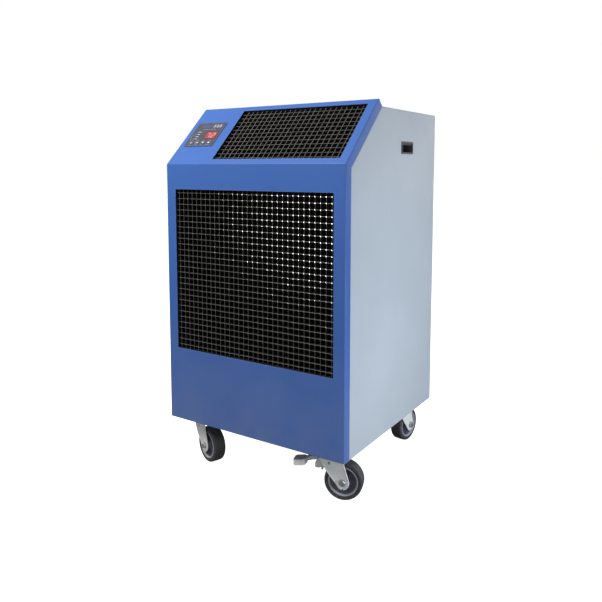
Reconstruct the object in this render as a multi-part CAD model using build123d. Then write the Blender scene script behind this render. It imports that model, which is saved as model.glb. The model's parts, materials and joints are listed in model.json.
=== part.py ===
from build123d import *
import os
from math import atan2, ceil, cos, degrees, hypot, pi, radians, sin, sqrt

# Portable water-cooled air conditioner on four swivel casters.
# Millimetres. X runs to the unit's right as seen from the front, Y to the back, Z up.
# The origin is on the floor, at the centre of the unit's outline with its casters as stored.

# ---------------------------------------------------------------- driving sizes
# cabinet
cab_width = 722.0          # over the side panels
cab_depth = 692.0          # front face to back panel
front_height = 915.0       # upright part of the front
slope_run = 212.0          # depth of the sloped part
slope_rise = 206.0         # height of the sloped part
sheet = 2.0                # panel sheet thickness
bend = 3.0                 # outside bend radius of the sheet
flange = 32.0              # depth of the front panel's side flange
seam = 1.0                 # gap between neighbouring panels
lip = 20.0                 # width of the side panels' folded edges
fit_gap = 0.5              # clearance of a piece seated in a cut-out

# return grille window, on the upright face
return_width = 641.0
return_height = 566.0
return_base = 262.0        # cabinet bottom to the window's lower edge
# supply grille window, on the slope
supply_width = 496.0
supply_height = 249.0
supply_margin = 30.0       # window to the cabinet's right side
supply_base = 23.5         # fold to the window's lower edge, along the slope
# egg-crate grilles
cell_pitch = 20.0
blade = 1.2
blade_depth = 14.0
grille_rim = 12.0          # solid rim, hidden behind the panel
grille_recess = 6.0        # panel's inner face to the blades

# control panel on the slope
panel_width = 132.0
panel_height = 124.0
panel_left = 23.5          # from the cabinet's left side
panel_base = 89.0          # from the fold, along the slope
panel_thick = 2.0
display_width = 50.0
display_height = 34.0
key_width = 20.0
key_height = 12.0
key_pitch = 27.0
key_proud = 0.5
key_travel = 0.6
key_depth = 4.0

# pocket handles
handle_length = 98.0
handle_height = 43.0
handle_depth = 36.0
handle_wall = 2.0
handle_border = 6.0
handle_proud = 1.5
handle_back = 435.0        # front face to the handle's centre
handle_up = 971.0          # cabinet bottom to the handle's centre

# casters
wheel_radius = 63.5
tyre_width = 45.0
rim_radius = 49.0
axle_radius = 6.0
run_fit = 0.05             # radial clearance of the turning fits
caster_trail = 37.0
caster_inset = 91.0        # swivel axis to the cabinet's sides
caster_headroom = 38.0     # top of the wheel to the cabinet's bottom edge
plate_length = 100.0
plate_width = 85.0
plate_thick = 5.0
bolt_span_x = 78.0
bolt_span_y = 62.0
bolt_radius = 4.0
leg_thick = 3.5
leg_gap = 4.5              # tyre side to the fork leg
crown_thick = 4.5
race_radius = 28.0
race_height = 7.5
kingpin_radius = 6.0
axle_end_radius = 20.0
brake_pin_radius = 4.0
brake_gap = 7.5            # tread to the brake shoe, brake off

# refrigeration and air parts
filter_thick = 20.0
coil_thick = 70.0
blower_wheel_radius = 150.0
blower_wheel_width = 230.0
scroll_radius = 185.0
scroll_width = 260.0
scroll_mouth = 190.0       # outlet height, in the slope's direction
shaft_radius = 8.0
motor_radius = 70.0
motor_length = 170.0
compressor_radius = 80.0
compressor_height = 185.0
condenser_radius = 105.0
condenser_tube = 15.0
pipe_radius = 6.5

# rear fittings
water_radius = 13.3        # hose thread, outside
water_length = 22.0
drain_radius = 6.5
drain_length = 22.0
cable_radius = 6.0
gland_length = 20.0
fitting_up = 120.0         # cabinet bottom to the water fittings
fitting_pitch = 110.0
screw_radius = 4.5

# caster directions as stored, degrees from +X towards +Y, and which ones carry a brake
caster_pose = {
    "front_right": (1, -1, 17.6, True),
    "front_left": (-1, -1, -20.0, False),
    "rear_right": (1, 1, 83.0, False),
    "rear_left": (-1, 1, 162.4, True),
}

# ---------------------------------------------------------------- derived sizes
floor_gap = 2 * wheel_radius + caster_headroom  # floor to the cabinet's bottom edge
slope_length = hypot(slope_run, slope_rise)
up_y = slope_run / slope_length
up_z = slope_rise / slope_length
in_y = up_z
in_z = -up_y
top_height = front_height + slope_rise + flange * in_z
rear_turn = radians(caster_pose["rear_right"][2])
rear_reach = (caster_trail + wheel_radius) * sin(rear_turn) + tyre_width / 2 * cos(rear_turn)
overhang = max(rear_reach - caster_inset, water_length, drain_length, gland_length)
front_y = -(cab_depth + overhang) / 2
half_width = cab_width / 2
pan_half = half_width - lip - seam
caster_top = floor_gap + sheet + fit_gap
shelf_z = return_base - 56.0

parts = {}


# ---------------------------------------------------------------- helpers
# Cabinet pieces are drawn with y from the front face and z from the cabinet's bottom edge.
def placed(shape):
    return Pos(0, front_y, floor_gap) * shape


def block(x0, x1, y0, y1, z0, z1):
    return Pos((x0 + x1) / 2, (y0 + y1) / 2, (z0 + z1) / 2) * Box(x1 - x0, y1 - y0, z1 - z0)


def extrude_x(outline, x0, x1):
    """A flat outline in (y, z), given its thickness from x0 to x1."""
    return Pos(x0, 0, 0) * extrude(Plane.YZ * outline, x1 - x0, dir=(1, 0, 0))


def extrude_y(outline, y0, y1):
    """A flat outline in (x, z), given its thickness from y0 to y1."""
    return Pos(0, y1, 0) * extrude(Plane.XZ * outline, y1 - y0, dir=(0, -1, 0))


def prism(points, x0, x1):
    """A side outline of (y, z) points, extruded from x0 to x1."""
    return extrude_x(Polygon(*points, align=None), x0, x1)


def rod_x(radius, x0, x1, y, z):
    return Pos((x0 + x1) / 2, y, z) * Rot(0, 90, 0) * Cylinder(radius, x1 - x0)


def rod_y(radius, x, y0, y1, z):
    return Pos(x, (y0 + y1) / 2, z) * Rot(90, 0, 0) * Cylinder(radius, y1 - y0)


def rod_z(radius, x, y, z0, z1):
    return Pos(x, y, (z0 + z1) / 2) * Cylinder(radius, z1 - z0)


def hex_y(across, x, y0, y1, z):
    return Pos(x, 0, z) * extrude_y(RegularPolygon(across / 2, 6, major_radius=False), y0, y1)


def hex_z(across, x, y, z0, z1):
    return Pos(x, y, z0) * extrude(RegularPolygon(across / 2, 6, major_radius=False), z1 - z0)


def on_slope(along_x, up, out):
    """The (x, y, z) of a point given across, up the slope from the fold, and out of its face."""
    return (along_x, up_y * up - in_y * out, front_height + up_z * up - in_z * out)


def slope_plane(along_x, up, out=0.0):
    """Plane on the slope: its x runs across, its y up the slope, its z out of the face."""
    return Plane(on_slope(along_x, up, out), x_dir=(1, 0, 0), z_dir=(0, -in_y, -in_z))


def slope_block(x0, x1, s0, s1, low, high):
    base = slope_plane((x0 + x1) / 2, (s0 + s1) / 2, low)
    return base * Pos(0, 0, (high - low) / 2) * Box(x1 - x0, s1 - s0, high - low)


def fold_point(depth):
    """Where the upright and the sloped face meet, at a depth behind both."""
    run = (depth - depth * in_y) / up_y
    return (depth, front_height + depth * in_z + run * up_z)


def slope_point(up, depth):
    return (up_y * up + in_y * depth, front_height + up_z * up + in_z * depth)


def slope_up_at(z, depth):
    """How far up the slope the line at this depth reaches height z."""
    return (z - front_height - in_z * depth) / up_z


def round_edges(shape, chosen, radius):
    return fillet(shape.edges().filter_by(chosen), radius)


def egg_crate(width, height, depth):
    """Crossed blades of one pitch, centred on the opening, with a solid rim; front at z = 0."""
    outer = Rectangle(width + 2 * grille_rim, height + 2 * grille_rim)
    opening = cell_pitch - blade
    columns = ceil(width / cell_pitch)
    rows = ceil(height / cell_pitch)
    holes = []
    for column in range(columns + 1):
        for row in range(rows + 1):
            left = max((column - columns / 2 - 0.5) * cell_pitch - opening / 2, -width / 2)
            right = min((column - columns / 2 - 0.5) * cell_pitch + opening / 2, width / 2)
            low = max((row - rows / 2 - 0.5) * cell_pitch - opening / 2, -height / 2)
            high = min((row - rows / 2 - 0.5) * cell_pitch + opening / 2, height / 2)
            if right - left > blade and high - low > blade:
                corner = [(left, low), (right, low), (right, high), (left, high)]
                holes.append(Wire.make_polygon([Vector(x, y, 0) for x, y in corner]))
    face = Face(outer.face().outer_wire(), holes)
    return Pos(0, 0, -depth) * extrude(face, depth)


# ---------------------------------------------------------------- front
return_mid = return_base + return_height / 2
supply_right = half_width - supply_margin
supply_left = supply_right - supply_width
supply_mid_x = (supply_left + supply_right) / 2
supply_mid_up = supply_base + supply_height / 2
panel_x0 = -half_width + panel_left
panel_mid_x = panel_x0 + panel_width / 2
panel_mid_up = panel_base + panel_height / 2
module_border = 8.0


def front_panel():
    skin = [
        (0, 0),
        (0, front_height),
        slope_point(slope_length, 0),
        slope_point(slope_length, flange),
        fold_point(flange),
        (flange, 0),
    ]
    past = flange + 5.0
    hollow = [
        (sheet, sheet),
        fold_point(sheet),
        slope_point(slope_length - sheet, sheet),
        slope_point(slope_length - sheet, past),
        fold_point(past),
        (past, sheet),
    ]
    solid = prism(skin, -half_width, half_width)

    def on_skin(edge):
        ends = [(edge @ 0), (edge @ 1)]
        return all(p.Y < 0.01 or depth_below(p) < 0.01 for p in ends)

    def depth_below(point):
        return point.Y * in_y + (point.Z - front_height) * in_z

    solid = round_edges(solid, on_skin, bend)
    solid -= prism(hollow, -half_width + sheet, half_width - sheet)
    solid -= block(-return_width / 2, return_width / 2, -1, sheet + 1,
                   return_base, return_base + return_height)
    solid -= slope_block(supply_left, supply_right, supply_base, supply_base + supply_height,
                         -sheet - 1, 1)
    solid -= slope_block(panel_x0 + module_border, panel_x0 + panel_width - module_border,
                         panel_base + module_border, panel_base + panel_height - module_border,
                         -sheet - 1, 1)
    return solid


def return_grille():
    plane = Plane((0, sheet + grille_recess, return_mid), x_dir=(1, 0, 0), z_dir=(0, -1, 0))
    return plane * egg_crate(return_width, return_height, blade_depth)


def supply_grille():
    plane = slope_plane(supply_mid_x, supply_mid_up, -sheet - grille_recess)
    return plane * egg_crate(supply_width, supply_height, blade_depth)


# ---------------------------------------------------------------- grey cabinet
handle_cut_length = handle_length - 2 * handle_border
handle_cut_height = handle_height - 2 * handle_border
back_inner = cab_depth - sheet
water_x = -half_width + 150.0
drain_x = water_x + 2 * fitting_pitch
cable_x = drain_x + fitting_pitch


def side_panel():
    edge = flange + seam
    lid = top_height - sheet
    outline = Polygon(
        (edge, 0),
        fold_point(edge),
        slope_point(slope_up_at(lid, edge), edge),
        (back_inner, lid),
        (back_inner, 0),
        align=None,
    )
    inner = offset(outline, -sheet, kind=Kind.INTERSECTION)
    solid = extrude_x(outline, half_width - lip, half_width)
    outside = lambda e: (e @ 0).X > half_width - 0.01 and (e @ 1).X > half_width - 0.01
    solid = round_edges(solid, outside, bend)
    solid -= extrude_x(inner, half_width - lip - 1, half_width - sheet)
    cut_y = handle_cut_length / 2 + fit_gap
    cut_z = handle_cut_height / 2 + fit_gap
    solid -= block(half_width - sheet - 1, half_width + 1, handle_back - cut_y, handle_back + cut_y,
                   handle_up - cut_z, handle_up + cut_z)
    for x, z in back_screw_spots:
        solid -= rod_y(screw_hole, x, back_inner - sheet - 1, back_inner + 1, z)
    return solid


def top_panel():
    front_edge = slope_point(slope_length, flange)[0] + seam
    solid = block(-half_width + seam, half_width - seam, front_edge, cab_depth,
                  top_height - sheet, top_height)
    upper = lambda e: (e @ 0).Z > top_height - 0.01 and (e @ 1).Z > top_height - 0.01
    return round_edges(solid, upper, sheet * 0.6)


def back_panel():
    solid = block(-half_width + seam, half_width - seam, back_inner, cab_depth,
                  seam, top_height - sheet - seam)
    outside = lambda e: (e @ 0).Y > cab_depth - 0.01 and (e @ 1).Y > cab_depth - 0.01
    solid = round_edges(solid, outside, sheet * 0.6)
    for x, radius in fitting_holes:
        solid -= rod_y(radius + fit_gap, x, back_inner - 1, cab_depth + 1, fitting_up)
    for x, z in back_screw_spots:
        solid -= rod_y(screw_hole, x, back_inner - 1, cab_depth + 1, z)
    return solid


pan_rim = 38.0


def base_pan():
    floor = 3.0
    low = sheet + fit_gap
    depth0 = sheet + seam
    depth1 = back_inner - sheet - seam
    solid = block(-pan_half, pan_half, depth0, depth1, low, low + pan_rim)
    solid -= block(-pan_half + floor, pan_half - floor, depth0 + floor, depth1 - floor,
                   low + floor, low + pan_rim + 1)
    for cx, cy in caster_spots():
        for dx, dy in bolt_spots():
            solid -= rod_z(bolt_radius + fit_gap, cx + dx, cy + dy, low - 1, low + floor + 1)
    return solid


post = 26.0
post_wall = 2.5
frame_low = sheet + fit_gap + pan_rim + fit_gap
frame_front = flange + 2 * seam + sheet
frame_back = back_inner - sheet - seam
frame_side = half_width - sheet - seam


def angle_post(y, z0, z1, back):
    """An upright angle at the right-hand side, its legs along the side and across."""
    side = block(frame_side - post_wall, frame_side, min(y, y + back * post),
                 max(y, y + back * post), z0, z1)
    across = block(frame_side - post, frame_side, min(y, y + back * post_wall),
                   max(y, y + back * post_wall), z0, z1)
    return side + across


def inner_frame():
    rail_top = top_height - sheet * 2 - seam
    front_top = front_height - flange
    right = angle_post(frame_front, frame_low, front_top, 1)
    right += angle_post(frame_back, frame_low, rail_top, -1)
    right += block(frame_side - post_wall, frame_side, frame_front, frame_back,
                   shelf_z - post, shelf_z)
    right += block(frame_side - post_wall, frame_side, cab_depth * 0.5, frame_back,
                   rail_top - post, rail_top)
    frame = right + mirror(right, about=Plane.YZ)
    for z in (frame_low, front_top - post):
        frame += block(-frame_side, frame_side, frame_front, frame_front + post_wall, z, z + post)
    for z in (frame_low, rail_top - post):
        frame += block(-frame_side, frame_side, frame_back - post_wall, frame_back, z, z + post)
    for y in (frame_front, frame_back - post_wall):
        frame += block(-frame_side, frame_side, y, y + post_wall, shelf_z - post, shelf_z)
    for x, z in back_screw_spots:
        frame -= rod_y(screw_hole, x, frame_back - post_wall - 1, frame_back + 1, z)
    return frame


pipe_x = 250.0
pipe_y = 168.0
pipe_pitch = 30.0


def divider_shelf():
    solid = block(-frame_side + post, frame_side - post, frame_front + post, frame_back - post,
                  shelf_z, shelf_z + post_wall)
    for index in range(2):
        solid -= rod_z(pipe_radius + 4, pipe_x + index * pipe_pitch, pipe_y, shelf_z - 1,
                       shelf_z + post_wall + 1)
    return solid


# ---------------------------------------------------------------- control panel
key_names = ["key_power", "key_mode", "key_down", "key_up"]
key_row = panel_base + 18.0
key_gap = 0.3
display_x = panel_x0 + 94.0
display_up = panel_base + 56.0
key_first = panel_mid_x - 1.5 * key_pitch


def control_bezel():
    solid = slope_block(panel_x0, panel_x0 + panel_width, panel_base, panel_base + panel_height,
                        0, panel_thick)
    normal = slope_plane(panel_mid_x, panel_mid_up).z_dir
    corners = lambda e: abs(e.tangent_at(0).dot(normal)) > 0.99
    solid = round_edges(solid, corners, 6.0)
    solid -= slope_block(display_x - display_width / 2, display_x + display_width / 2,
                         display_up - display_height / 2, display_up + display_height / 2,
                         -1, panel_thick + 1)
    for index in range(len(key_names)):
        x = key_first + index * key_pitch
        solid -= slope_block(x - key_width / 2 - key_gap, x + key_width / 2 + key_gap,
                             key_row - key_height / 2 - key_gap, key_row + key_height / 2 + key_gap,
                             -1, panel_thick + 1)
    return solid


def display_window():
    inset = key_gap / 2
    return slope_block(display_x - display_width / 2 + inset, display_x + display_width / 2 - inset,
                       display_up - display_height / 2 + inset, display_up + display_height / 2 - inset,
                       -key_depth + panel_thick, panel_thick + 0.2)


def membrane_key(index):
    x = key_first + index * key_pitch
    solid = slope_block(x - key_width / 2, x + key_width / 2, key_row - key_height / 2,
                        key_row + key_height / 2, panel_thick - key_depth, panel_thick + key_proud)
    normal = slope_plane(x, key_row).z_dir
    corners = lambda e: abs(e.tangent_at(0).dot(normal)) > 0.99
    return round_edges(solid, corners, 2.0)


def control_module():
    gap = module_border + 2 * fit_gap
    high = panel_thick - key_depth - key_travel - fit_gap
    return slope_block(panel_x0 + gap, panel_x0 + panel_width - gap, panel_base + gap,
                       panel_base + panel_height - gap, high - 28.0, high)


# ---------------------------------------------------------------- pocket handles
def pocket_handle():
    outer = half_width
    solid = block(outer, outer + handle_proud, handle_back - handle_length / 2,
                  handle_back + handle_length / 2, handle_up - handle_height / 2,
                  handle_up + handle_height / 2)
    face = lambda e: (e @ 0).X > outer + handle_proud - 0.01 and (e @ 1).X > outer + handle_proud - 0.01
    solid = round_edges(solid, face, handle_proud * 0.6)
    solid += block(outer - handle_depth, outer, handle_back - handle_cut_length / 2,
                   handle_back + handle_cut_length / 2, handle_up - handle_cut_height / 2,
                   handle_up + handle_cut_height / 2)
    solid -= block(outer - handle_depth + handle_wall, outer + handle_proud + 1,
                   handle_back - handle_cut_length / 2 + handle_wall,
                   handle_back + handle_cut_length / 2 - handle_wall,
                   handle_up - handle_cut_height / 2 + handle_wall,
                   handle_up + handle_cut_height / 2 - handle_wall)
    return solid


# ---------------------------------------------------------------- air path
filter_front = sheet + grille_recess + blade_depth + 3.0
coil_front = filter_front + filter_thick + 16.0
coil_back = coil_front + coil_thick
filter_half = min(return_width / 2 + 8.0, frame_side - post - seam)
coil_half = return_width / 2 - 22.0


def air_filter():
    low = return_base - 8.0
    high = return_base + return_height + 8.0
    border = 16.0
    solid = block(-filter_half, filter_half, filter_front, filter_front + filter_thick, low, high)
    solid -= block(-filter_half + border, filter_half - border, filter_front - 1, filter_front + 4.0,
                   low + border, high - border)
    return solid


def evaporator_coil():
    low = return_base + 4.0
    high = return_base + return_height - 4.0
    tube = 5.0
    bend_radius = 14.0
    solid = block(-coil_half, coil_half, coil_front, coil_back, low, high)
    rows = 9
    pitch = (high - low) / rows
    for row in range(rows):
        z = low + (row + 0.5) * pitch
        for side in (-1, 1):
            ring = Pos(side * coil_half, (coil_front + coil_back) / 2, z) * Torus(bend_radius, tube)
            keep = block(min(0, side * frame_side), max(0, side * frame_side), coil_front, coil_back,
                         z - tube, z + tube)
            keep -= block(-coil_half, coil_half, coil_front, coil_back, z - tube, z + tube)
            solid += ring & keep
    return solid


def drain_pan():
    half = coil_half + 20.0
    low = shelf_z + post_wall + fit_gap
    high = return_base + 2.0
    solid = block(-half, half, coil_front - 6, coil_back + 12, low, high)
    solid -= block(-half + sheet, half - sheet, coil_front - 6 + sheet, coil_back + 12 - sheet,
                   low + sheet, high + 1)
    return solid


blower_reach = 300.0       # slope face to the blower axis, square to the slope
mouth_reach = 100.0        # slope face to the scroll's outlet
blower_up = supply_mid_up + scroll_radius - scroll_mouth / 2
blower_y, blower_z = slope_point(blower_up, blower_reach)
blower_x0 = supply_mid_x - scroll_width / 2
blower_x1 = supply_mid_x + scroll_width / 2
inlet_radius = 122.0


def scroll_outline(inset, mouth_extra):
    """Side outline of the scroll: a round body with its outlet towards the slope."""
    radius = scroll_radius - inset
    body = Pos(blower_y, blower_z) * Circle(radius)
    low_up = blower_up - scroll_radius + inset
    high_up = blower_up - scroll_radius + scroll_mouth - inset
    duct = Polygon(
        slope_point(low_up, blower_reach),
        slope_point(high_up, blower_reach),
        slope_point(high_up, mouth_reach - mouth_extra),
        slope_point(low_up, mouth_reach - mouth_extra),
        align=None,
    )
    return body + duct


def blower_housing():
    solid = extrude_x(scroll_outline(0, 0), blower_x0, blower_x1)
    solid -= extrude_x(scroll_outline(sheet, 2), blower_x0 + sheet, blower_x1 - sheet)
    solid -= rod_x(inlet_radius, blower_x0 - 1, blower_x1 + 1, blower_y, blower_z)
    foot = 30.0
    for x in (blower_x0 + 20, blower_x1 - 20 - foot):
        solid += block(x, x + foot, blower_y - 40, blower_y + 40, shelf_z + post_wall + fit_gap,
                       blower_z - scroll_radius + 8) - rod_x(scroll_radius - 1, x - 1, x + foot + 1,
                                                             blower_y, blower_z)
    return solid


def discharge_plenum():
    wall = 3.0
    depth = grille_recess + sheet + blade_depth + 2.0
    mouth_up = blower_up - scroll_radius + scroll_mouth / 2

    def shell(extra, reach):
        wide = slope_plane(supply_mid_x, supply_mid_up, -depth + reach)
        narrow = slope_plane(supply_mid_x, mouth_up, -mouth_reach + fit_gap * 2 - reach)
        big = wide * Rectangle(supply_width - 2 * wall + extra, supply_height - 2 * wall + extra)
        small = narrow * Rectangle(scroll_width + extra - 2 * sheet, scroll_mouth + extra - 2 * sheet)
        return loft([small.face(), big.face()])

    return shell(0, 0) - shell(-2 * wall, 0.5)


def blower_wheel():
    x0 = supply_mid_x - blower_wheel_width / 2
    x1 = supply_mid_x + blower_wheel_width / 2
    blades = 30
    chord = 26.0
    ring = 6.0
    wheel = rod_x(blower_wheel_radius, x0, x0 + ring, blower_y, blower_z)
    wheel += rod_x(blower_wheel_radius, x1 - ring, x1, blower_y, blower_z)
    wheel -= rod_x(blower_wheel_radius - chord - 4, x0 - 1, x1 + 1, blower_y, blower_z)
    wheel += rod_x(blower_wheel_radius, supply_mid_x - 1.5, supply_mid_x + 1.5, blower_y, blower_z)
    vane = Box(blower_wheel_width, chord, 1.6)
    for index in range(blades):
        turn = Rot(index * 360 / blades, 0, 0)
        spot = Pos(0, blower_wheel_radius - chord / 2 - 3, 0) * Rot(28, 0, 0)
        wheel += Pos(supply_mid_x, blower_y, blower_z) * turn * spot * vane
    wheel += rod_x(28, supply_mid_x - 25, supply_mid_x + 25, blower_y, blower_z)
    wheel += rod_x(shaft_radius, motor_x1 - motor_bore, supply_mid_x, blower_y, blower_z)
    return wheel


motor_gap = 30.0
motor_bore = 40.0
motor_x1 = blower_x0 - motor_gap
motor_x0 = motor_x1 - motor_length


def blower_motor():
    solid = rod_x(motor_radius, motor_x0, motor_x1, blower_y, blower_z)
    solid = fillet(solid.edges(), 8.0)
    solid += rod_x(28, motor_x1 - 1, motor_x1 + 8, blower_y, blower_z)
    solid -= rod_x(shaft_radius + run_fit, motor_x1 - motor_bore - 1, motor_x1 + 9, blower_y, blower_z)
    return solid


def motor_bracket():
    low = shelf_z + post_wall + fit_gap
    half = motor_radius + 12
    solid = block(motor_x0 + 20, motor_x1 - 20, blower_y - half, blower_y + half, low, low + 4)
    for x in (motor_x0 + 25, motor_x1 - 29):
        solid += block(x, x + 4, blower_y - half + 20, blower_y + half - 20, low, blower_z)
        solid -= rod_x(motor_radius + 0.3, x - 1, x + 5, blower_y, blower_z)
    return solid


# ---------------------------------------------------------------- cooling circuit
deck_z = sheet + fit_gap + 3.0 + fit_gap
comp_x = 130.0
comp_y = 300.0
cond_x = -150.0
cond_y = 330.0
pump_x = 20.0
pump_y = cab_depth - 130.0


def compressor():
    shell = rod_z(compressor_radius, comp_x, comp_y, deck_z + 16, deck_z + compressor_height)
    shell = fillet(shell.edges(), 24.0)
    foot = Pos(comp_x, comp_y, deck_z + 18) * Box(170, 170, 5)
    foot = fillet(foot.edges().filter_by(Axis.Z), 30.0)
    solid = shell + foot
    for dx in (-68, 68):
        for dy in (-68, 68):
            solid += rod_z(12, comp_x + dx, comp_y + dy, deck_z, deck_z + 19)
    return solid


def condenser_coil():
    turns = 4
    pitch = 2 * condenser_tube + 4
    solids = []
    for turn in range(turns):
        z = deck_z + 12 + condenser_tube + turn * pitch
        solids.append(Pos(cond_x, cond_y, z) * Torus(condenser_radius, condenser_tube))
    for turn in range(3):
        angle = radians(90 + turn * 120)
        x = cond_x + condenser_radius * cos(angle)
        y = cond_y + condenser_radius * sin(angle)
        solids.append(rod_z(7, x, y, deck_z, deck_z + 12 + turns * pitch - condenser_tube))
    coil = solids[0]
    for solid in solids[1:]:
        coil += solid
    return coil


def pipe(points, radius):
    path = FilletPolyline(*points, radius=30.0)
    section = Plane(origin=path @ 0, z_dir=path % 0) * Circle(radius)
    return sweep(section, path=path)


def refrigerant_pipes():
    """Suction line from the compressor and liquid line from the condenser, up past the shelf."""
    line_z = deck_z + 110
    pipe_top = return_base + 60.0
    liquid_x = pipe_x + pipe_pitch
    suction = pipe([(comp_x + compressor_radius + 1, comp_y, line_z),
                    (pipe_x, comp_y, line_z),
                    (pipe_x, pipe_y, line_z),
                    (pipe_x, pipe_y, pipe_top)], pipe_radius)
    liquid = pipe([(cond_x, cond_y - condenser_radius - condenser_tube - 1, deck_z + 60),
                   (cond_x, pipe_y, deck_z + 60),
                   (liquid_x, pipe_y, deck_z + 60),
                   (liquid_x, pipe_y, pipe_top)], pipe_radius)
    return Compound(children=[suction, liquid])


# ---------------------------------------------------------------- rear and electrical
gland_radius = 11.0
fitting_holes = [
    (water_x, water_radius),
    (water_x + fitting_pitch, water_radius),
    (drain_x, drain_radius),
    (cable_x, gland_radius),
]
screw_hole = 2.5
screw_rows = 5
back_screw_spots = []
for column in (-half_width + lip / 2, half_width - lip / 2):
    for row in range(screw_rows):
        z = 40.0 + row * (top_height - 80.0) / (screw_rows - 1)
        back_screw_spots.append((column, z))


def hose_fitting(x, radius, length):
    outer = cab_depth + length
    solid = rod_y(radius, x, cab_depth + 4, outer, fitting_up)
    solid += hex_y(radius * 2 + 8, x, cab_depth + fit_gap, cab_depth + 5, fitting_up)
    solid += rod_y(radius, x, back_inner - 30, cab_depth + 2, fitting_up)
    solid -= rod_y(radius - 3, x, back_inner - 31, outer + 1, fitting_up)
    return solid


def cable_gland():
    solid = hex_y(30, cable_x, cab_depth + fit_gap, cab_depth + 7, fitting_up)
    solid += rod_y(gland_radius, cable_x, back_inner - 14, cab_depth + gland_length, fitting_up)
    solid -= rod_y(cable_radius, cable_x, back_inner - 15, cab_depth + gland_length + 1, fitting_up)
    return solid


def condensate_pump():
    solid = block(pump_x - 60, pump_x + 60, pump_y - 60, pump_y + 60, deck_z, deck_z + 80)
    solid = fillet(solid.edges().filter_by(Axis.Z), 12.0)
    return solid + rod_z(32, pump_x, pump_y, deck_z + 79, deck_z + 130)


def electrical_box():
    """A closed steel box on the rear posts' inner side, hollow inside."""
    x0 = -frame_side + post_wall + fit_gap
    x1 = x0 + 220.0
    y1 = frame_back - post - fit_gap
    y0 = y1 - 100.0
    low = shelf_z + 60.0
    high = low + 340.0
    solid = block(x0, x1, y0, y1, low, high)
    return solid - block(x0 + sheet, x1 - sheet, y0 + sheet, y1 - sheet, low + sheet, high - sheet)


def panel_screws():
    heads = []
    for x, z in back_screw_spots:
        head = rod_y(screw_radius, x, cab_depth + 0.01, cab_depth + 2.6, z)
        head += rod_y(screw_hole - 0.4, x, back_inner - 8, cab_depth + 1, z)
        heads.append(head)
    return Compound(children=heads)


# ---------------------------------------------------------------- casters
# Drawn with the swivel axis on Z, the floor at z = 0 and the wheel trailing towards +X.
leg_inner = tyre_width / 2 + leg_gap
leg_outer = leg_inner + leg_thick
race_low = caster_top - plate_thick - race_height
crown_top = race_low - 0.5
crown_low = crown_top - crown_thick
pivot_x = -6.0             # pin of the brake lever
pivot_z = crown_top - 30.5


def caster_spots():
    """Swivel axes, in cabinet coordinates."""
    return [(sx * (half_width - caster_inset), caster_inset if sy < 0 else cab_depth - caster_inset)
            for sx, sy, _, _ in caster_pose.values()]


def bolt_spots():
    return [(dx * bolt_span_x / 2, dy * bolt_span_y / 2) for dx in (-1, 1) for dy in (-1, 1)]


def caster_plate():
    solid = Pos(0, 0, caster_top - plate_thick / 2) * Box(plate_length, plate_width, plate_thick)
    solid = fillet(solid.edges().filter_by(Axis.Z), 8.0)
    for dx, dy in bolt_spots():
        solid -= rod_z(bolt_radius + fit_gap, dx, dy, caster_top - plate_thick - 1, caster_top + 1)
    solid += rod_z(race_radius, 0, 0, race_low, caster_top - plate_thick)
    solid += rod_z(kingpin_radius, 0, 0, crown_low - 6, race_low + 1)
    solid += rod_z(kingpin_radius + 5, 0, 0, crown_low - 6.3, crown_low - 0.3)
    return solid


def fork_leg():
    """Side outline of one leg: wide at the crown, rounded round the axle."""
    wide = Polygon(
        (-38, crown_top),
        (34, crown_top),
        (42, crown_top - 37.5),
        (caster_trail + axle_end_radius * 0.985, wheel_radius + 8),
        (caster_trail - axle_end_radius * 0.72, wheel_radius - 14),
        (-18, crown_top - 55.5),
        (-38, crown_top - 17.5),
        align=None,
    )
    return wide + Pos(caster_trail, wheel_radius) * Circle(axle_end_radius)


def caster_fork(braked):
    leg = extrude_y(fork_leg(), leg_inner, leg_outer)
    fork = leg + mirror(leg, about=Plane.XZ)
    crown = block(-38, 34, -leg_outer, leg_outer, crown_low, crown_top)
    fork += crown
    fork -= rod_z(kingpin_radius + run_fit, 0, 0, crown_low - 1, crown_top + 1)
    fork -= rod_y(axle_radius + 0.2, caster_trail, -leg_outer - 1, leg_outer + 1, wheel_radius)
    if braked:
        fork += rod_y(brake_pin_radius, pivot_x, -leg_outer - 1.5, leg_outer + 1.5, pivot_z)
        for side in (-1, 1):
            y = side * (leg_outer + 1)
            fork += rod_y(brake_pin_radius + 3, pivot_x, min(side * leg_outer, y + side),
                          max(side * leg_outer, y + side), pivot_z)
    return fork


def caster_tyre():
    tyre = rod_y(wheel_radius, caster_trail, -tyre_width / 2, tyre_width / 2, wheel_radius)
    tyre = fillet(tyre.edges(), 5.0)
    return tyre - rod_y(rim_radius, caster_trail, -tyre_width / 2 - 1, tyre_width / 2 + 1, wheel_radius)


def caster_hub():
    half = tyre_width / 2
    web = 6.0
    section = [
        (axle_radius + run_fit, -half - 3),
        (17, -half - 3),
        (19, -web),
        (rim_radius - 5, -web),
        (rim_radius - 3, -half + 1),
        (rim_radius, -half + 1),
        (rim_radius, half - 1),
        (rim_radius - 3, half - 1),
        (rim_radius - 5, web),
        (19, web),
        (17, half + 3),
        (axle_radius + run_fit, half + 3),
    ]
    turned = revolve(Polygon(*section, align=None), Axis.Y)
    return Pos(caster_trail, 0, wheel_radius) * turned


def caster_axle():
    head = 7.0
    reach = leg_outer + 0.2
    axle = rod_y(axle_radius, caster_trail, -reach - 1, reach + 12, wheel_radius)
    for y0, y1 in ((-reach - head, -reach), (reach, reach + 9)):
        axle += hex_y(19.0, caster_trail, y0, y1, wheel_radius)
    return axle


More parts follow.
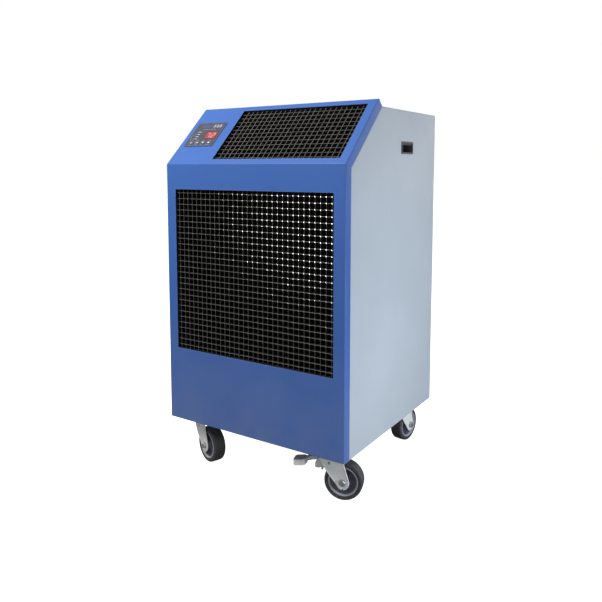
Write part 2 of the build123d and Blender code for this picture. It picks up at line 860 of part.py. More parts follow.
# ---- brake lever: pedal, arm, two ears and the shoe, in one bent and welded piece
ear_thick = 3.0
ear_half = 17.0            # over the two ears
arm_half = 14.0
shoe_angle = radians(150.0)  # where the shoe meets the tread, seen from the axle
shoe_thick = 8.0
shoe_tall = 16.0
pedal_long = 42.0
pedal_half = 22.0
pedal_tall = 20.0
pedal_wall = 3.0


def brake_lever():
    """Drawn about its pin, then set on the pin with the shoe a gap away from the tread."""
    arm = Polygon((-6, 6), (-28, 17), (-64, 12), (-91, -6), (-91, -11), (-64, 7), (-30, 12), (-8, 2),
                  align=None)
    lever = extrude_y(arm, -arm_half, arm_half)
    ear = Polygon((5, -6), (7, 3), (-4, 8), (-28, 17), (-51, -10), (-50, -25), (-38, -26), align=None)
    for y in (-ear_half, ear_half - ear_thick):
        lever += extrude_y(ear, y, y + ear_thick)
    lever -= rod_y(4.0, -39, -ear_half - 1, ear_half + 1, -19)
    pedal = Box(pedal_long, 2 * pedal_half, pedal_tall)
    pedal -= Pos(0, 0, -pedal_wall) * Box(pedal_long - 2 * pedal_wall, 2 * (pedal_half - pedal_wall),
                                          pedal_tall)
    pedal = fillet(pedal.edges().filter_by(Axis.Z).group_by(Axis.X)[0], 8.0)
    lever += Pos(-106, 0, -15) * Rot(0, -8, 0) * pedal
    lever = Pos(pivot_x, 0, pivot_z) * lever
    shoe_reach = wheel_radius + brake_gap + shoe_thick / 2
    shoe_x = caster_trail + shoe_reach * cos(shoe_angle)
    shoe_z = wheel_radius + shoe_reach * sin(shoe_angle)
    shoe = Box(shoe_thick, 2 * ear_half, shoe_tall)
    lever += Pos(shoe_x, 0, shoe_z) * Rot(0, -degrees(shoe_angle), 0) * shoe
    lever -= rod_y(brake_pin_radius + run_fit, pivot_x, -ear_half - 1, ear_half + 1, pivot_z)
    return lever


def caster_bolts():
    bolts = []
    for cx, cy in caster_spots():
        for dx, dy in bolt_spots():
            low = caster_top - plate_thick
            bolt = rod_z(bolt_radius, dx, dy, low - 1, caster_top + 12)
            bolt += hex_z(13.0, dx, dy, low - 5.3, low - 0.1)
            bolt += hex_z(13.0, dx, dy, caster_top + 3.2, caster_top + 9.2)
            bolts.append(Pos(cx, cy + front_y, 0) * bolt)
    return Compound(children=bolts)


# ---------------------------------------------------------------- assembly
cabinet = {
    "front_panel": front_panel(),
    "return_grille": return_grille(),
    "supply_grille": supply_grille(),
    "right_side_panel": side_panel(),
    "left_side_panel": mirror(side_panel(), about=Plane.YZ),
    "top_panel": top_panel(),
    "back_panel": back_panel(),
    "base_pan": base_pan(),
    "inner_frame": inner_frame(),
    "divider_shelf": divider_shelf(),
    "control_bezel": control_bezel(),
    "display_window": display_window(),
    "control_module": control_module(),
    "right_handle": pocket_handle(),
    "left_handle": mirror(pocket_handle(), about=Plane.YZ),
    "air_filter": air_filter(),
    "evaporator_coil": evaporator_coil(),
    "drain_pan": drain_pan(),
    "blower_housing": blower_housing(),
    "discharge_plenum": discharge_plenum(),
    "blower_wheel": blower_wheel(),
    "blower_motor": blower_motor(),
    "motor_bracket": motor_bracket(),
    "compressor": compressor(),
    "condenser_coil": condenser_coil(),
    "refrigerant_pipes": refrigerant_pipes(),
    "water_inlet": hose_fitting(water_x, water_radius, water_length),
    "water_outlet": hose_fitting(water_x + fitting_pitch, water_radius, water_length),
    "condensate_outlet": hose_fitting(drain_x, drain_radius, drain_length),
    "cable_gland": cable_gland(),
    "condensate_pump": condensate_pump(),
    "electrical_box": electrical_box(),
    "panel_screws": panel_screws(),
}
for index, name in enumerate(key_names):
    cabinet[name] = membrane_key(index)
for name, shape in cabinet.items():
    parts[name] = placed(shape)

for corner, (side_x, side_y, turn, braked) in caster_pose.items():
    swivel_x = side_x * (half_width - caster_inset)
    swivel_y = front_y + (caster_inset if side_y < 0 else cab_depth - caster_inset)
    fixed = Pos(swivel_x, swivel_y, 0)
    turned = fixed * Rot(0, 0, turn)
    parts[f"{corner}_caster_plate"] = fixed * caster_plate()
    parts[f"{corner}_fork"] = turned * caster_fork(braked)
    parts[f"{corner}_tyre"] = turned * caster_tyre()
    parts[f"{corner}_hub"] = turned * caster_hub()
    parts[f"{corner}_axle"] = turned * caster_axle()
    if braked:
        parts[f"{corner}_brake_lever"] = turned * brake_lever()
parts["caster_bolts"] = caster_bolts()

os.makedirs("parts", exist_ok=True)
for name, shape in parts.items():
    export_step(shape, f"parts/{name}.step")
print(len(parts), "parts; top of cabinet", round(floor_gap + top_height, 1))
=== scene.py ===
import json
import math
import random

import bmesh
import bpy
from mathutils import Matrix, Vector


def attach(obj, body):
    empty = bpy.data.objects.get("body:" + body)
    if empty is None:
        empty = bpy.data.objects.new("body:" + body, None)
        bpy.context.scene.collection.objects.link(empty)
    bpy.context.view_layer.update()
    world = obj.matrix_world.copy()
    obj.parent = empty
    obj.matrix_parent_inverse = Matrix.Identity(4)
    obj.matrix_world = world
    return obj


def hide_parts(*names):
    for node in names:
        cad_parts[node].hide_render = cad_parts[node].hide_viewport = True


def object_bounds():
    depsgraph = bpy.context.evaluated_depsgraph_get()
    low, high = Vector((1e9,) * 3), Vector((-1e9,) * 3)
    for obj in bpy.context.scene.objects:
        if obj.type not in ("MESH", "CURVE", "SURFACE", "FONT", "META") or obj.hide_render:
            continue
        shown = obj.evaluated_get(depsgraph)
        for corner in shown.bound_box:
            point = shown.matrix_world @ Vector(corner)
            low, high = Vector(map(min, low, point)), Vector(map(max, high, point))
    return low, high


bl_info = {
    "name": "Portable Air Conditioner",
    "version": (1, 0, 0),
    "blender": (4, 5, 0),
    "location": "3D View > Sidebar > Air Conditioner",
    "description": "Finishes a portable air conditioner on swivel casters",
    "category": "Object",
}

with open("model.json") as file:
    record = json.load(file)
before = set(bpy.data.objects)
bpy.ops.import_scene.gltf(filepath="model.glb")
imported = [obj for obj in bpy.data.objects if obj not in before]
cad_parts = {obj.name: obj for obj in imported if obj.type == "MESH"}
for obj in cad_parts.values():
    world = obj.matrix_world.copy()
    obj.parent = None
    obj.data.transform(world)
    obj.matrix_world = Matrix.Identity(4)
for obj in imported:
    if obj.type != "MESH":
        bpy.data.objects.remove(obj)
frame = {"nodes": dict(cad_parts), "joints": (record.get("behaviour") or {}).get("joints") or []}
CAD_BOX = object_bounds()
NODES = frame["nodes"]
JOINTS = {joint["name"]: joint for joint in frame["joints"]}
CORNERS = ("front_right", "front_left", "rear_right", "rear_left")
KEYS = ("key_power", "key_mode", "key_down", "key_up")
MM = 0.001

# The slope's directions: across, up the slope, and out of its face.
PRESS = Vector(JOINTS["key_power_press"]["axis"])
SLOPE = (Vector((1, 0, 0)), Vector((0, -PRESS.z, PRESS.y)), -PRESS)
UPRIGHT = (Vector((1, 0, 0)), Vector((0, 0, 1)), Vector((0, -1, 0)))
RIGHT_SIDE = (Vector((0, 1, 0)), Vector((0, 0, 1)), Vector((1, 0, 0)))
LEFT_SIDE = (Vector((0, -1, 0)), Vector((0, 0, 1)), Vector((-1, 0, 0)))


# ------------------------------------------------------------------ settings
def colour(name, description, default):
    return bpy.props.FloatVectorProperty(
        name=name, description=description, default=default, size=3, subtype="COLOR", min=0.0, max=1.0)


def length(name, description, millimetres):
    return bpy.props.FloatProperty(
        name=name, description=description, default=millimetres * MM, unit="LENGTH", min=0.0)


class StageSettings(bpy.types.PropertyGroup):
    """Camera, floor and lights."""

    eye: bpy.props.FloatVectorProperty(
        name="Eye", description="Where the camera stands", size=3,
        default=(1.2830, -2.0170, 1.0660), subtype="TRANSLATION", unit="LENGTH")
    heading: bpy.props.FloatProperty(
        name="Heading", description="Camera's turn from straight ahead", default=0.5763,
        subtype="ANGLE", unit="ROTATION")
    dip: bpy.props.FloatProperty(
        name="Dip", description="Camera's tilt below level", default=0.0935,
        subtype="ANGLE", unit="ROTATION")
    lens: bpy.props.FloatProperty(
        name="Lens", description="Focal length in millimetres", default=38.64, min=1.0)
    shift: bpy.props.FloatProperty(
        name="Shift", description="Vertical lens shift", default=-0.12)
    floor: colour("Floor", "Colour of the floor", (0.85, 0.85, 0.85))
    glow: bpy.props.FloatProperty(
        name="Glow", description="How far the floor is lifted to white", default=1.12, min=0.0)
    light: bpy.props.FloatProperty(
        name="Light", description="Strength of the surrounding light", default=0.30, min=0.0)


class PaintSettings(bpy.types.PropertyGroup):
    """Colours of the finishes."""

    blue: colour("Blue", "Front panel's powder coat", (0.048, 0.140, 0.46))
    grey: colour("Grey", "Cabinet's powder coat", (0.50, 0.55, 0.60))
    # the blades are black; the near-zero value also paints the shade deep inside the grille's cells
    blades: colour("Blades", "Grille blades", (0.003, 0.003, 0.0033))
    # painted highlight: this lighter colour on the blades' front faces stands for their edges catching the
    # light
    edge: colour("Edge", "Bare front edges of the grille blades", (0.115, 0.112, 0.104))
    overlay: colour("Overlay", "Control panel's printed film", (0.060, 0.066, 0.095))
    display: colour("Display", "Tinted display window", (0.30, 0.060, 0.065))
    rubber: colour("Rubber", "Tyres", (0.034, 0.034, 0.035))
    hub: colour("Hub", "Wheel hubs", (0.085, 0.090, 0.125))
    # painted highlight: the lighter ring stands for light caught on the hub's rim lip
    rim: colour("Rim", "Bright ring round each hub", (0.42, 0.42, 0.47))
    zinc: colour("Zinc", "Plated caster forks", (0.95, 0.96, 0.89))


class GrilleSettings(bpy.types.PropertyGroup):
    """Egg-crate grilles."""

    pitch: length("Pitch", "Cell size", 20.0)
    blade: length("Blade", "Blade thickness", 1.2)
    rim: length("Rim", "Solid border behind the panel", 12.0)
    stray: length("Stray", "How far the blades wander", 0.15)
    pip: length("Pip", "Height of the pressed joint at each crossing", 0.9)


class CasterSettings(bpy.types.PropertyGroup):
    """Casters."""

    sheet: length("Sheet", "Fork sheet thickness", 3.5)
    bend: length("Bend", "Radius of the fork's bends", 7.0)
    facets: bpy.props.IntProperty(
        name="Facets", description="Facets round a wheel", default=96, min=24)


SETTINGS = {"stage": StageSettings, "paint": PaintSettings, "grille": GrilleSettings,
            "caster": CasterSettings}


def settings(group):
    return getattr(bpy.context.scene, "air_conditioner_" + group)


# ------------------------------------------------------------------ shader helpers
class Shader:
    """A short way to place and join nodes in one tree."""

    def __init__(self, tree):
        self.tree = tree

    def put(self, socket, value):
        if isinstance(value, bpy.types.NodeSocket):
            self.tree.links.new(value, socket)
        elif socket.type == "RGBA" and len(value) == 3:
            socket.default_value = (*value, 1.0)
        else:
            socket.default_value = value

    def add(self, kind, sockets=(), **choices):
        node = self.tree.nodes.new(kind)
        for key, value in choices.items():
            setattr(node, key, value)
        for key, value in dict(sockets).items():
            self.put(node.inputs[key], value)
        return node

    def math(self, operation, a, b=0.0):
        return self.add("ShaderNodeMath", {0: a, 1: b}, operation=operation).outputs[0]

    def place(self, scale=(1.0, 1.0, 1.0)):
        coords = self.add("ShaderNodeTexCoord").outputs["Object"]
        return self.add("ShaderNodeMapping", {"Vector": coords, "Scale": scale}).outputs["Vector"]

    def noise(self, vector, scale, detail=3.0, rough=0.5):
        sockets = {"Vector": vector, "Scale": scale, "Detail": detail, "Roughness": rough}
        return self.add("ShaderNodeTexNoise", sockets).outputs["Fac"]

    def span(self, value, low, high, to_low=0.0, to_high=1.0):
        sockets = {"Value": value, "From Min": low, "From Max": high, "To Min": to_low, "To Max": to_high}
        return self.add("ShaderNodeMapRange", sockets).outputs["Result"]

    def mix(self, factor, a, b):
        node = self.add("ShaderNodeMix", data_type="RGBA")
        self.put(node.inputs[0], factor)
        self.put(node.inputs[6], a)
        self.put(node.inputs[7], b)
        return node.outputs[2]

    def bump(self, height, strength, distance):
        sockets = {"Height": height, "Strength": strength, "Distance": distance}
        return self.add("ShaderNodeBump", sockets).outputs["Normal"]


def new_group(name, inputs, outputs):
    """An empty shader group with number inputs and outputs, and the nodes that carry them."""
    tree = bpy.data.node_groups.new(name, "ShaderNodeTree")
    for label, default in inputs.items():
        kind = "NodeSocketVector" if isinstance(default, tuple) else "NodeSocketFloat"
        tree.interface.new_socket(name=label, in_out="INPUT", socket_type=kind).default_value = default
    for label in outputs:
        tree.interface.new_socket(name=label, in_out="OUTPUT", socket_type="NodeSocketFloat")
    shader = Shader(tree)
    source = shader.add("NodeGroupInput").outputs
    sink = shader.add("NodeGroupOutput").inputs
    return shader, source, sink


def powder_group():
    """Powder coat or moulded grain: fine bumps on a slow ripple."""
    s, source, sink = new_group("powder_grain", {"Scale": 900.0, "Ripple": 0.4}, ("Height", "Speckle"))
    place = s.place()
    fine = s.noise(place, source["Scale"], 2.0, 0.6)
    slow = s.noise(place, 110.0, 2.0, 0.5)
    s.put(sink["Height"], s.math("ADD", fine, s.math("MULTIPLY", slow, source["Ripple"])))
    s.put(sink["Speckle"], s.span(fine, 0.32, 0.68))
    return s.tree


def dust_group():
    """Dust that thickens towards the floor, in uneven clouds."""
    s, source, sink = new_group("settled_dust", {"Top": 0.5, "Amount": 0.5, "Scale": 14.0}, ("Mask",))
    place = s.place()
    height = s.add("ShaderNodeSeparateXYZ", {"Vector": place}).outputs["Z"]
    low = s.span(height, 0.0, source["Top"], 1.0, 0.0)
    patch = s.span(s.noise(place, source["Scale"], 5.0, 0.6), 0.2, 0.9, 0.15, 0.75)
    s.put(sink["Mask"], s.math("MULTIPLY", s.math("MULTIPLY", low, patch), source["Amount"]))
    return s.tree


def rub_group():
    """Scattered rubs and handling marks."""
    s, source, sink = new_group(
        "rub_marks", {"Scale": 60.0, "Amount": 0.4, "Stretch": (1.0, 1.0, 1.0)}, ("Mask",))
    spots = s.span(s.noise(s.place(source["Stretch"]), source["Scale"], 6.0, 0.7), 0.57, 0.72)
    where = s.span(s.noise(s.place(), 7.0, 3.0, 0.5), 0.42, 0.65)
    s.put(sink["Mask"], s.math("MULTIPLY", s.math("MULTIPLY", spots, where), source["Amount"]))
    return s.tree


def wear_and_highlight_group():
    """A mask along convex edges, broken up by noise: bright metal or rubbed plastic where a finish uses it
    for wear, and a painted highlight on the painted sheets' bends.
    """
    s, source, sink = new_group("edge_wear_and_highlight", {"Width": 0.0015, "Amount": 0.5}, ("Mask",))
    geometry = s.add("ShaderNodeNewGeometry")
    edge = s.add("ShaderNodeBevel", {"Radius": source["Width"]}, samples=4).outputs["Normal"]
    turn = s.add("ShaderNodeVectorMath", {0: edge, 1: geometry.outputs["Normal"]},
                 operation="DOT_PRODUCT").outputs["Value"]
    bent = s.span(turn, 0.995, 0.86)
    broken = s.span(s.noise(s.place(), 160.0, 4.0, 0.65), 0.38, 0.6)
    s.put(sink["Mask"], s.math("MULTIPLY", s.math("MULTIPLY", bent, broken), source["Amount"]))
    return s.tree


def plating_group():
    """Zinc and mill metal: crystal patches crossed by drawn streaks."""
    s, source, sink = new_group(
        "plated_metal", {"Crystal": 140.0, "Streak": (30.0, 30.0, 400.0)}, ("Shade", "Height"))
    cells = s.add("ShaderNodeTexVoronoi", {"Vector": s.place(), "Scale": source["Crystal"]})
    tone = s.add("ShaderNodeSeparateColor", {"Color": cells.outputs["Color"]}).outputs["Red"]
    streak = s.noise(s.place(source["Streak"]), 1.0, 4.0, 0.6)
    s.put(sink["Shade"], s.math("ADD", s.math("MULTIPLY", tone, 0.3), s.math("MULTIPLY", streak, 0.7)))
    s.put(sink["Height"], streak)
    return s.tree


GROUP_MAKERS = {"powder": powder_group, "dust": dust_group, "rub": rub_group, "wear": wear_and_highlight_group,
                "plating": plating_group}
GROUPS = {}


# ------------------------------------------------------------------ finishes
class Finish(Shader):
    """A material with one Principled shader, and the shared effects at hand."""

    def __init__(self, name, color, roughness, metallic=0.0):
        self.material = bpy.data.materials.new(name)
        self.material.use_nodes = True
        super().__init__(self.material.node_tree)
        self.skin = self.tree.nodes["Principled BSDF"]
        self.set("Base Color", color)
        self.set("Roughness", roughness)
        self.set("Metallic", metallic)

    def set(self, socket, value):
        self.put(self.skin.inputs[socket], value)

    def effect(self, name, **sockets):
        return self.add("ShaderNodeGroup", sockets, node_tree=GROUPS[name]).outputs


def shade(color, factor):
    return tuple(min(1.0, channel * factor) for channel in color)


DUST = (0.42, 0.40, 0.37)


def painted(name, color, grain, roughness, dust_amount, peel):
    """Powder-coated sheet: orange peel, slow tone drift, scuffs, dust towards the floor, and a painted
    highlight along the bends.
    """
    f = Finish(name, color, roughness)
    powder = f.effect("powder", Scale=grain, Ripple=0.6)
    drift = f.span(f.noise(f.place(), 2.4, 3.0, 0.5), 0.3, 0.7)
    tone = f.mix(drift, shade(color, 0.93), shade(color, 1.06))
    speckled = f.mix(f.math("MULTIPLY", powder["Speckle"], 0.3), tone, shade(color, 1.28))
    dust = f.effect("dust", Top=0.55, Amount=dust_amount, Scale=9.0)["Mask"]
    rubs = f.effect("rub", Scale=45.0, Amount=0.16, Stretch=(1.0, 1.0, 0.25))["Mask"]
    wear = f.effect("wear", Width=0.0025, Amount=0.35)["Mask"]
    scuffed = f.mix(rubs, f.mix(dust, speckled, DUST), shade(color, 1.5))
    # painted highlight: the edge mask tints the bends pale blue-grey (0.62, 0.66, 0.74), standing for the
    # folded edges catching the light
    f.set("Base Color", f.mix(wear, scuffed, (0.62, 0.66, 0.74)))
    rough = f.span(powder["Speckle"], 0.0, 1.0, roughness - 0.05, roughness + 0.07)
    f.set("Roughness", f.math("ADD", rough, f.math("MULTIPLY", dust, 0.3)))
    f.set("Normal", f.bump(powder["Height"], peel, 0.0006))
    return f.material


def plated(name, color, crystal, roughness, streak, contrast=0.3, metallic=1.0):
    """Zinc-plated, galvanized or mill-finish metal."""
    f = Finish(name, color, roughness, metallic)
    metal = f.effect("plating", Crystal=crystal, Streak=streak)
    tone = f.mix(f.span(metal["Shade"], 0.25, 0.75), shade(color, 1.0 - contrast), shade(color, 1.25))
    rubs = f.effect("rub", Scale=80.0, Amount=0.45, Stretch=(1.0, 1.0, 1.0))["Mask"]
    wear = f.effect("wear", Width=0.0012, Amount=0.6)["Mask"]
    f.set("Base Color", f.mix(wear, f.mix(rubs, tone, (0.30, 0.28, 0.24)), shade(color, 1.4)))
    f.set("Roughness", f.span(metal["Shade"], 0.2, 0.8, roughness - 0.1, roughness + 0.12))
    f.set("Normal", f.bump(metal["Height"], 0.15, 0.0004))
    return f.material


def moulded(name, color, roughness, grain, strength=0.25, worn=0.2, gloss=0.5):
    """Moulded plastic, film or enamel with a fine grain."""
    f = Finish(name, color, roughness)
    f.set("Specular IOR Level", gloss)
    powder = f.effect("powder", Scale=grain, Ripple=0.2)
    dust = f.effect("dust", Top=2.4, Amount=0.12, Scale=30.0)["Mask"]
    wear = f.effect("wear", Width=0.0010, Amount=worn)["Mask"]
    tone = f.mix(f.math("MULTIPLY", powder["Speckle"], 0.3), color, shade(color, 1.6))
    f.set("Base Color", f.mix(wear, f.mix(dust, tone, DUST), (0.25, 0.25, 0.26)))
    f.set("Roughness", f.span(powder["Speckle"], 0.0, 1.0, roughness - 0.06, roughness + 0.06))
    f.set("Normal", f.bump(powder["Height"], strength, 0.0005))
    return f.material


def rubber():
    """Black tread with a bloom, fine moulding lines round it and floor dust."""
    color = tuple(settings("paint").rubber)
    f = Finish("tyre_rubber", color, 0.62)
    powder = f.effect("powder", Scale=1400.0, Ripple=0.3)
    dust = f.effect("dust", Top=0.22, Amount=0.22, Scale=60.0)["Mask"]
    bloom = f.span(f.noise(f.place((60.0, 900.0, 60.0)), 1.0, 3.0, 0.6), 0.35, 0.75)
    tone = f.mix(f.math("MULTIPLY", bloom, 0.5), color, shade(color, 3.2))
    f.set("Base Color", f.mix(dust, tone, (0.22, 0.21, 0.19)))
    f.set("Roughness", f.span(bloom, 0.0, 1.0, 0.52, 0.72))
    f.set("Normal", f.bump(f.math("ADD", powder["Height"], bloom), 0.25, 0.0004))
    return f.material


def foam():
    """Open-cell filter foam: black, darkened further as painted shade behind the grille's cells, and with
    darker pore centres as painted shade in the pores.
    """
    f = Finish("black_foam", (0.004, 0.004, 0.004), 0.92)
    f.set("Specular IOR Level", 0.1)
    pores = f.add("ShaderNodeTexVoronoi", {"Vector": f.place(), "Scale": 420.0}).outputs["Distance"]
    f.set("Base Color", f.mix(f.span(pores, 0.1, 0.7), (0.001, 0.001, 0.001), (0.010, 0.010, 0.011)))
    f.set("Normal", f.bump(pores, 0.9, 0.002))
    return f.material


def fins():
    """Coil block: thin pressed fins on edge, with dark bands between them as painted shade in the gaps."""
    f = Finish("coil_fins", (0.55, 0.56, 0.57), 0.4, 1.0)
    waves = f.add("ShaderNodeTexWave", {"Vector": f.place(), "Scale": 160.0, "Distortion": 0.4},
                  bands_direction="X").outputs["Fac"]
    f.set("Base Color", f.mix(waves, (0.12, 0.12, 0.13), (0.62, 0.63, 0.64)))
    f.set("Normal", f.bump(waves, 0.8, 0.001))
    return f.material


def tinted_window():
    """Red filter over a lit display: deep colour, even glow, glossy face."""
    color = tuple(settings("paint").display)
    f = Finish("red_display", color, 0.12)
    glow = f.span(f.noise(f.place(), 90.0, 2.0, 0.5), 0.3, 0.7)
    f.set("Base Color", f.mix(glow, shade(color, 0.8), shade(color, 1.3)))
    f.set("Emission Color", f.mix(glow, (0.22, 0.020, 0.024), (0.40, 0.060, 0.065)))
    f.set("Emission Strength", 0.35)
    f.set("Coat Weight", 0.6)
    return f.material


def lit(name, color, strength):
    """A lit display segment or indicator lamp."""
    f = Finish(name, color, 0.35)
    hot = f.span(f.noise(f.place(), 400.0, 2.0, 0.5), 0.3, 0.7)
    f.set("Emission Color", f.mix(hot, shade(color, 0.75), color))
    f.set("Emission Strength", strength)
    return f.material


def ink(name, color):
    """Screen-printed marks."""
    f = Finish(name, color, 0.5)
    patchy = f.span(f.noise(f.place(), 900.0, 4.0, 0.7), 0.35, 0.7)
    f.set("Base Color", f.mix(patchy, shade(color, 0.72), color))
    f.set("Normal", f.bump(patchy, 0.1, 0.0002))
    return f.material


def make_finishes():
    """All finishes by slot name, and the ones that only the details use."""
    paint = settings("paint")
    upright_streak = (260.0, 260.0, 18.0)
    made = {
        "blue_paint": painted("blue_paint", tuple(paint.blue), 620.0, 0.42, 0.50, 0.20),
        "grey_paint": painted("grey_paint", tuple(paint.grey), 480.0, 0.50, 0.18, 0.34),
        "black_aluminium": moulded("black_aluminium", tuple(paint.blades), 0.5, 1500.0, 0.12, 0.0, 0.05),
        # painted highlight on the blades' front faces; the supply grille's copy is 2.4 times brighter, as its
        # slope catches more light
        "blade_edge": moulded("blade_edge", tuple(paint.edge), 0.45, 700.0, 0.1, 0.0),
        "rubbed_edge": moulded("rubbed_edge", shade(tuple(paint.edge), 2.4), 0.45, 700.0, 0.1, 0.0),
        "blade_tab": plated("blade_tab", (0.42, 0.42, 0.41), 300.0, 0.16, (60.0, 60.0, 60.0), 0.2),
        "galvanized_steel": plated("galvanized_steel", (0.50, 0.52, 0.53), 70.0, 0.42, (12.0, 12.0, 90.0)),
        "coil_fins": fins(),
        "black_foam": foam(),
        "black_plastic": moulded("black_plastic", (0.016, 0.016, 0.018), 0.46, 1100.0),
        "panel_overlay": moulded("panel_overlay", tuple(paint.overlay), 0.34, 1800.0, 0.15, 0.0),
        "red_display": tinted_window(),
        "key_film": moulded("key_film", (0.10, 0.105, 0.135), 0.38, 1600.0, 0.15, 0.0),
        "black_enamel": moulded("black_enamel", (0.012, 0.012, 0.013), 0.22, 500.0, 0.1),
        "copper": plated("copper", (0.72, 0.36, 0.20), 90.0, 0.3, (60.0, 60.0, 8.0)),
        "brass": plated("brass", (0.72, 0.55, 0.25), 300.0, 0.26, (20.0, 700.0, 20.0)),
        "bolt_steel": plated("bolt_steel", (0.52, 0.56, 0.58), 500.0, 0.3, (80.0, 80.0, 80.0)),
        "zinc_plate": plated("zinc_plate", tuple(paint.zinc), 210.0, 0.42, upright_streak, 0.06, 0.0),
        "tyre_rubber": rubber(),
        "wheel_hub": moulded("wheel_hub", tuple(paint.hub), 0.42, 700.0, 0.3, 0.3),
        "rim": moulded("bright_rim", tuple(paint.rim), 0.3, 700.0, 0.2, 0.0),
        "pedal": moulded("pedal_grey", (0.56, 0.63, 0.70), 0.34, 900.0, 0.2, 0.8),
        "digit": lit("display_digit", (0.95, 0.26, 0.25), 0.7),
        "lamp": lit("indicator_lamp", (0.20, 0.55, 0.35), 0.3),
        "white_ink": ink("white_ink", (0.86, 0.87, 0.90)),
        "grey_ink": ink("grey_ink", (0.34, 0.33, 0.36)),
        "blue_ink": ink("blue_ink", (0.095, 0.10, 0.24)),
    }
    return made


FINISHES = {}


# ------------------------------------------------------------------ mesh helpers
def extent(node, axes):
    """Lowest and highest reach of a CAD node along three directions."""
    points = [vertex.co for vertex in NODES[node].data.vertices]
    reach = [[axis.dot(point) for point in points] for axis in axes]
    return Vector([min(row) for row in reach]), Vector([max(row) for row in reach])


def basis(axes, origin):
    """Matrix of a local frame whose x, y and z run along the given directions."""
    turn = Matrix(axes).transposed().to_4x4()
    turn.translation = origin
    return turn


def on_face(axes, along, up, out):
    """Local frame at a point given along the three directions."""
    return basis(axes, axes[0] * along + axes[1] * up + axes[2] * out)


def flat(bm, points, low, high, material=0):
    """A flat outline in x and y given thickness from low to high."""
    bottom = [bm.verts.new((x, y, low)) for x, y in points]
    top = [bm.verts.new((x, y, high)) for x, y in points]
    count = len(points)
    faces = [bm.faces.new(bottom[::-1]), bm.faces.new(top)]
    for i in range(count):
        j = (i + 1) % count
        faces.append(bm.faces.new((bottom[i], bottom[j], top[j], top[i])))
    for face in faces:
        face.material_index = material
    return faces


def box(bm, low, high, material=0):
    """A block between two corners."""
    points = [(low[0], low[1]), (high[0], low[1]), (high[0], high[1]), (low[0], high[1])]
    return flat(bm, points, low[2], high[2], material)


def ring_points(radius, count, centre=(0.0, 0.0), start=0.0, end=math.tau):
    full = abs(end - start - math.tau) < 1e-6
    steps = count if full else count - 1
    return [(centre[0] + radius * math.cos(start + (end - start) * i / steps),
             centre[1] + radius * math.sin(start + (end - start) * i / steps)) for i in range(count)]


def rounded(width, height, radius, corner_steps=5):
    """Points of a rectangle with rounded corners, centred on the origin."""
    points = []
    for index, (sx, sy) in enumerate(((1, 1), (-1, 1), (-1, -1), (1, -1))):
        centre = (sx * (width / 2 - radius), sy * (height / 2 - radius))
        start = index * math.pi / 2
        points += ring_points(radius, corner_steps, centre, start, start + math.pi / 2)
    return points


def lathe(bm, profile, count, axis="Y", material_at=None):
    """Turns a closed (radius, along) profile about an axis through the origin."""
    rings = []
    for index in range(count):
        turn = math.tau * index / count
        c, s = math.cos(turn), math.sin(turn)
        if axis == "Y":
            rings.append([bm.verts.new((r * c, a, r * s)) for r, a in profile])
        else:
            rings.append([bm.verts.new((r * c, r * s, a)) for r, a in profile])
    size = len(profile)
    for index in range(count):
        here, there = rings[index], rings[(index + 1) % count]
        for k in range(size):
            face = bm.faces.new((here[k], here[(k + 1) % size], there[(k + 1) % size], there[k]))
            if material_at:
                face.material_index = material_at(k)


def finish_mesh(bm, angle=35.0):
    """Merges doubles, turns the faces outwards, and keeps edges sharper than the angle hard."""
    bmesh.ops.remove_doubles(bm, verts=bm.verts, dist=1e-6)
    bmesh.ops.recalc_face_normals(bm, faces=bm.faces)
    for face in bm.faces:
        face.smooth = True
    for edge in bm.edges:
        edge.smooth = len(edge.link_faces) == 2 and edge.calc_face_angle(0.0) < math.radians(angle)


def piece(name, bm, place, body, slot, finishes, replaced=(), bevel=0.0, angle=35.0):
    """Makes a named piece of the mesh, in place, riding on a body."""
    finish_mesh(bm, angle)
    mesh = bpy.data.meshes.new(name)
    bm.to_mesh(mesh)
    bm.free()
    for finish in finishes:
        mesh.materials.append(FINISHES[finish])
    made = bpy.data.objects.new(name, mesh)
    bpy.context.scene.collection.objects.link(made)
    made.matrix_world = place
    if bevel:
        edge = made.modifiers.new("edges", "BEVEL")
        edge.width = bevel
        edge.segments = 2
        edge.limit_method = "ANGLE"
        edge.angle_limit = math.radians(angle)
        edge.harden_normals = True
    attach(made, body)
    if replaced:
        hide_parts(*replaced)
    return made


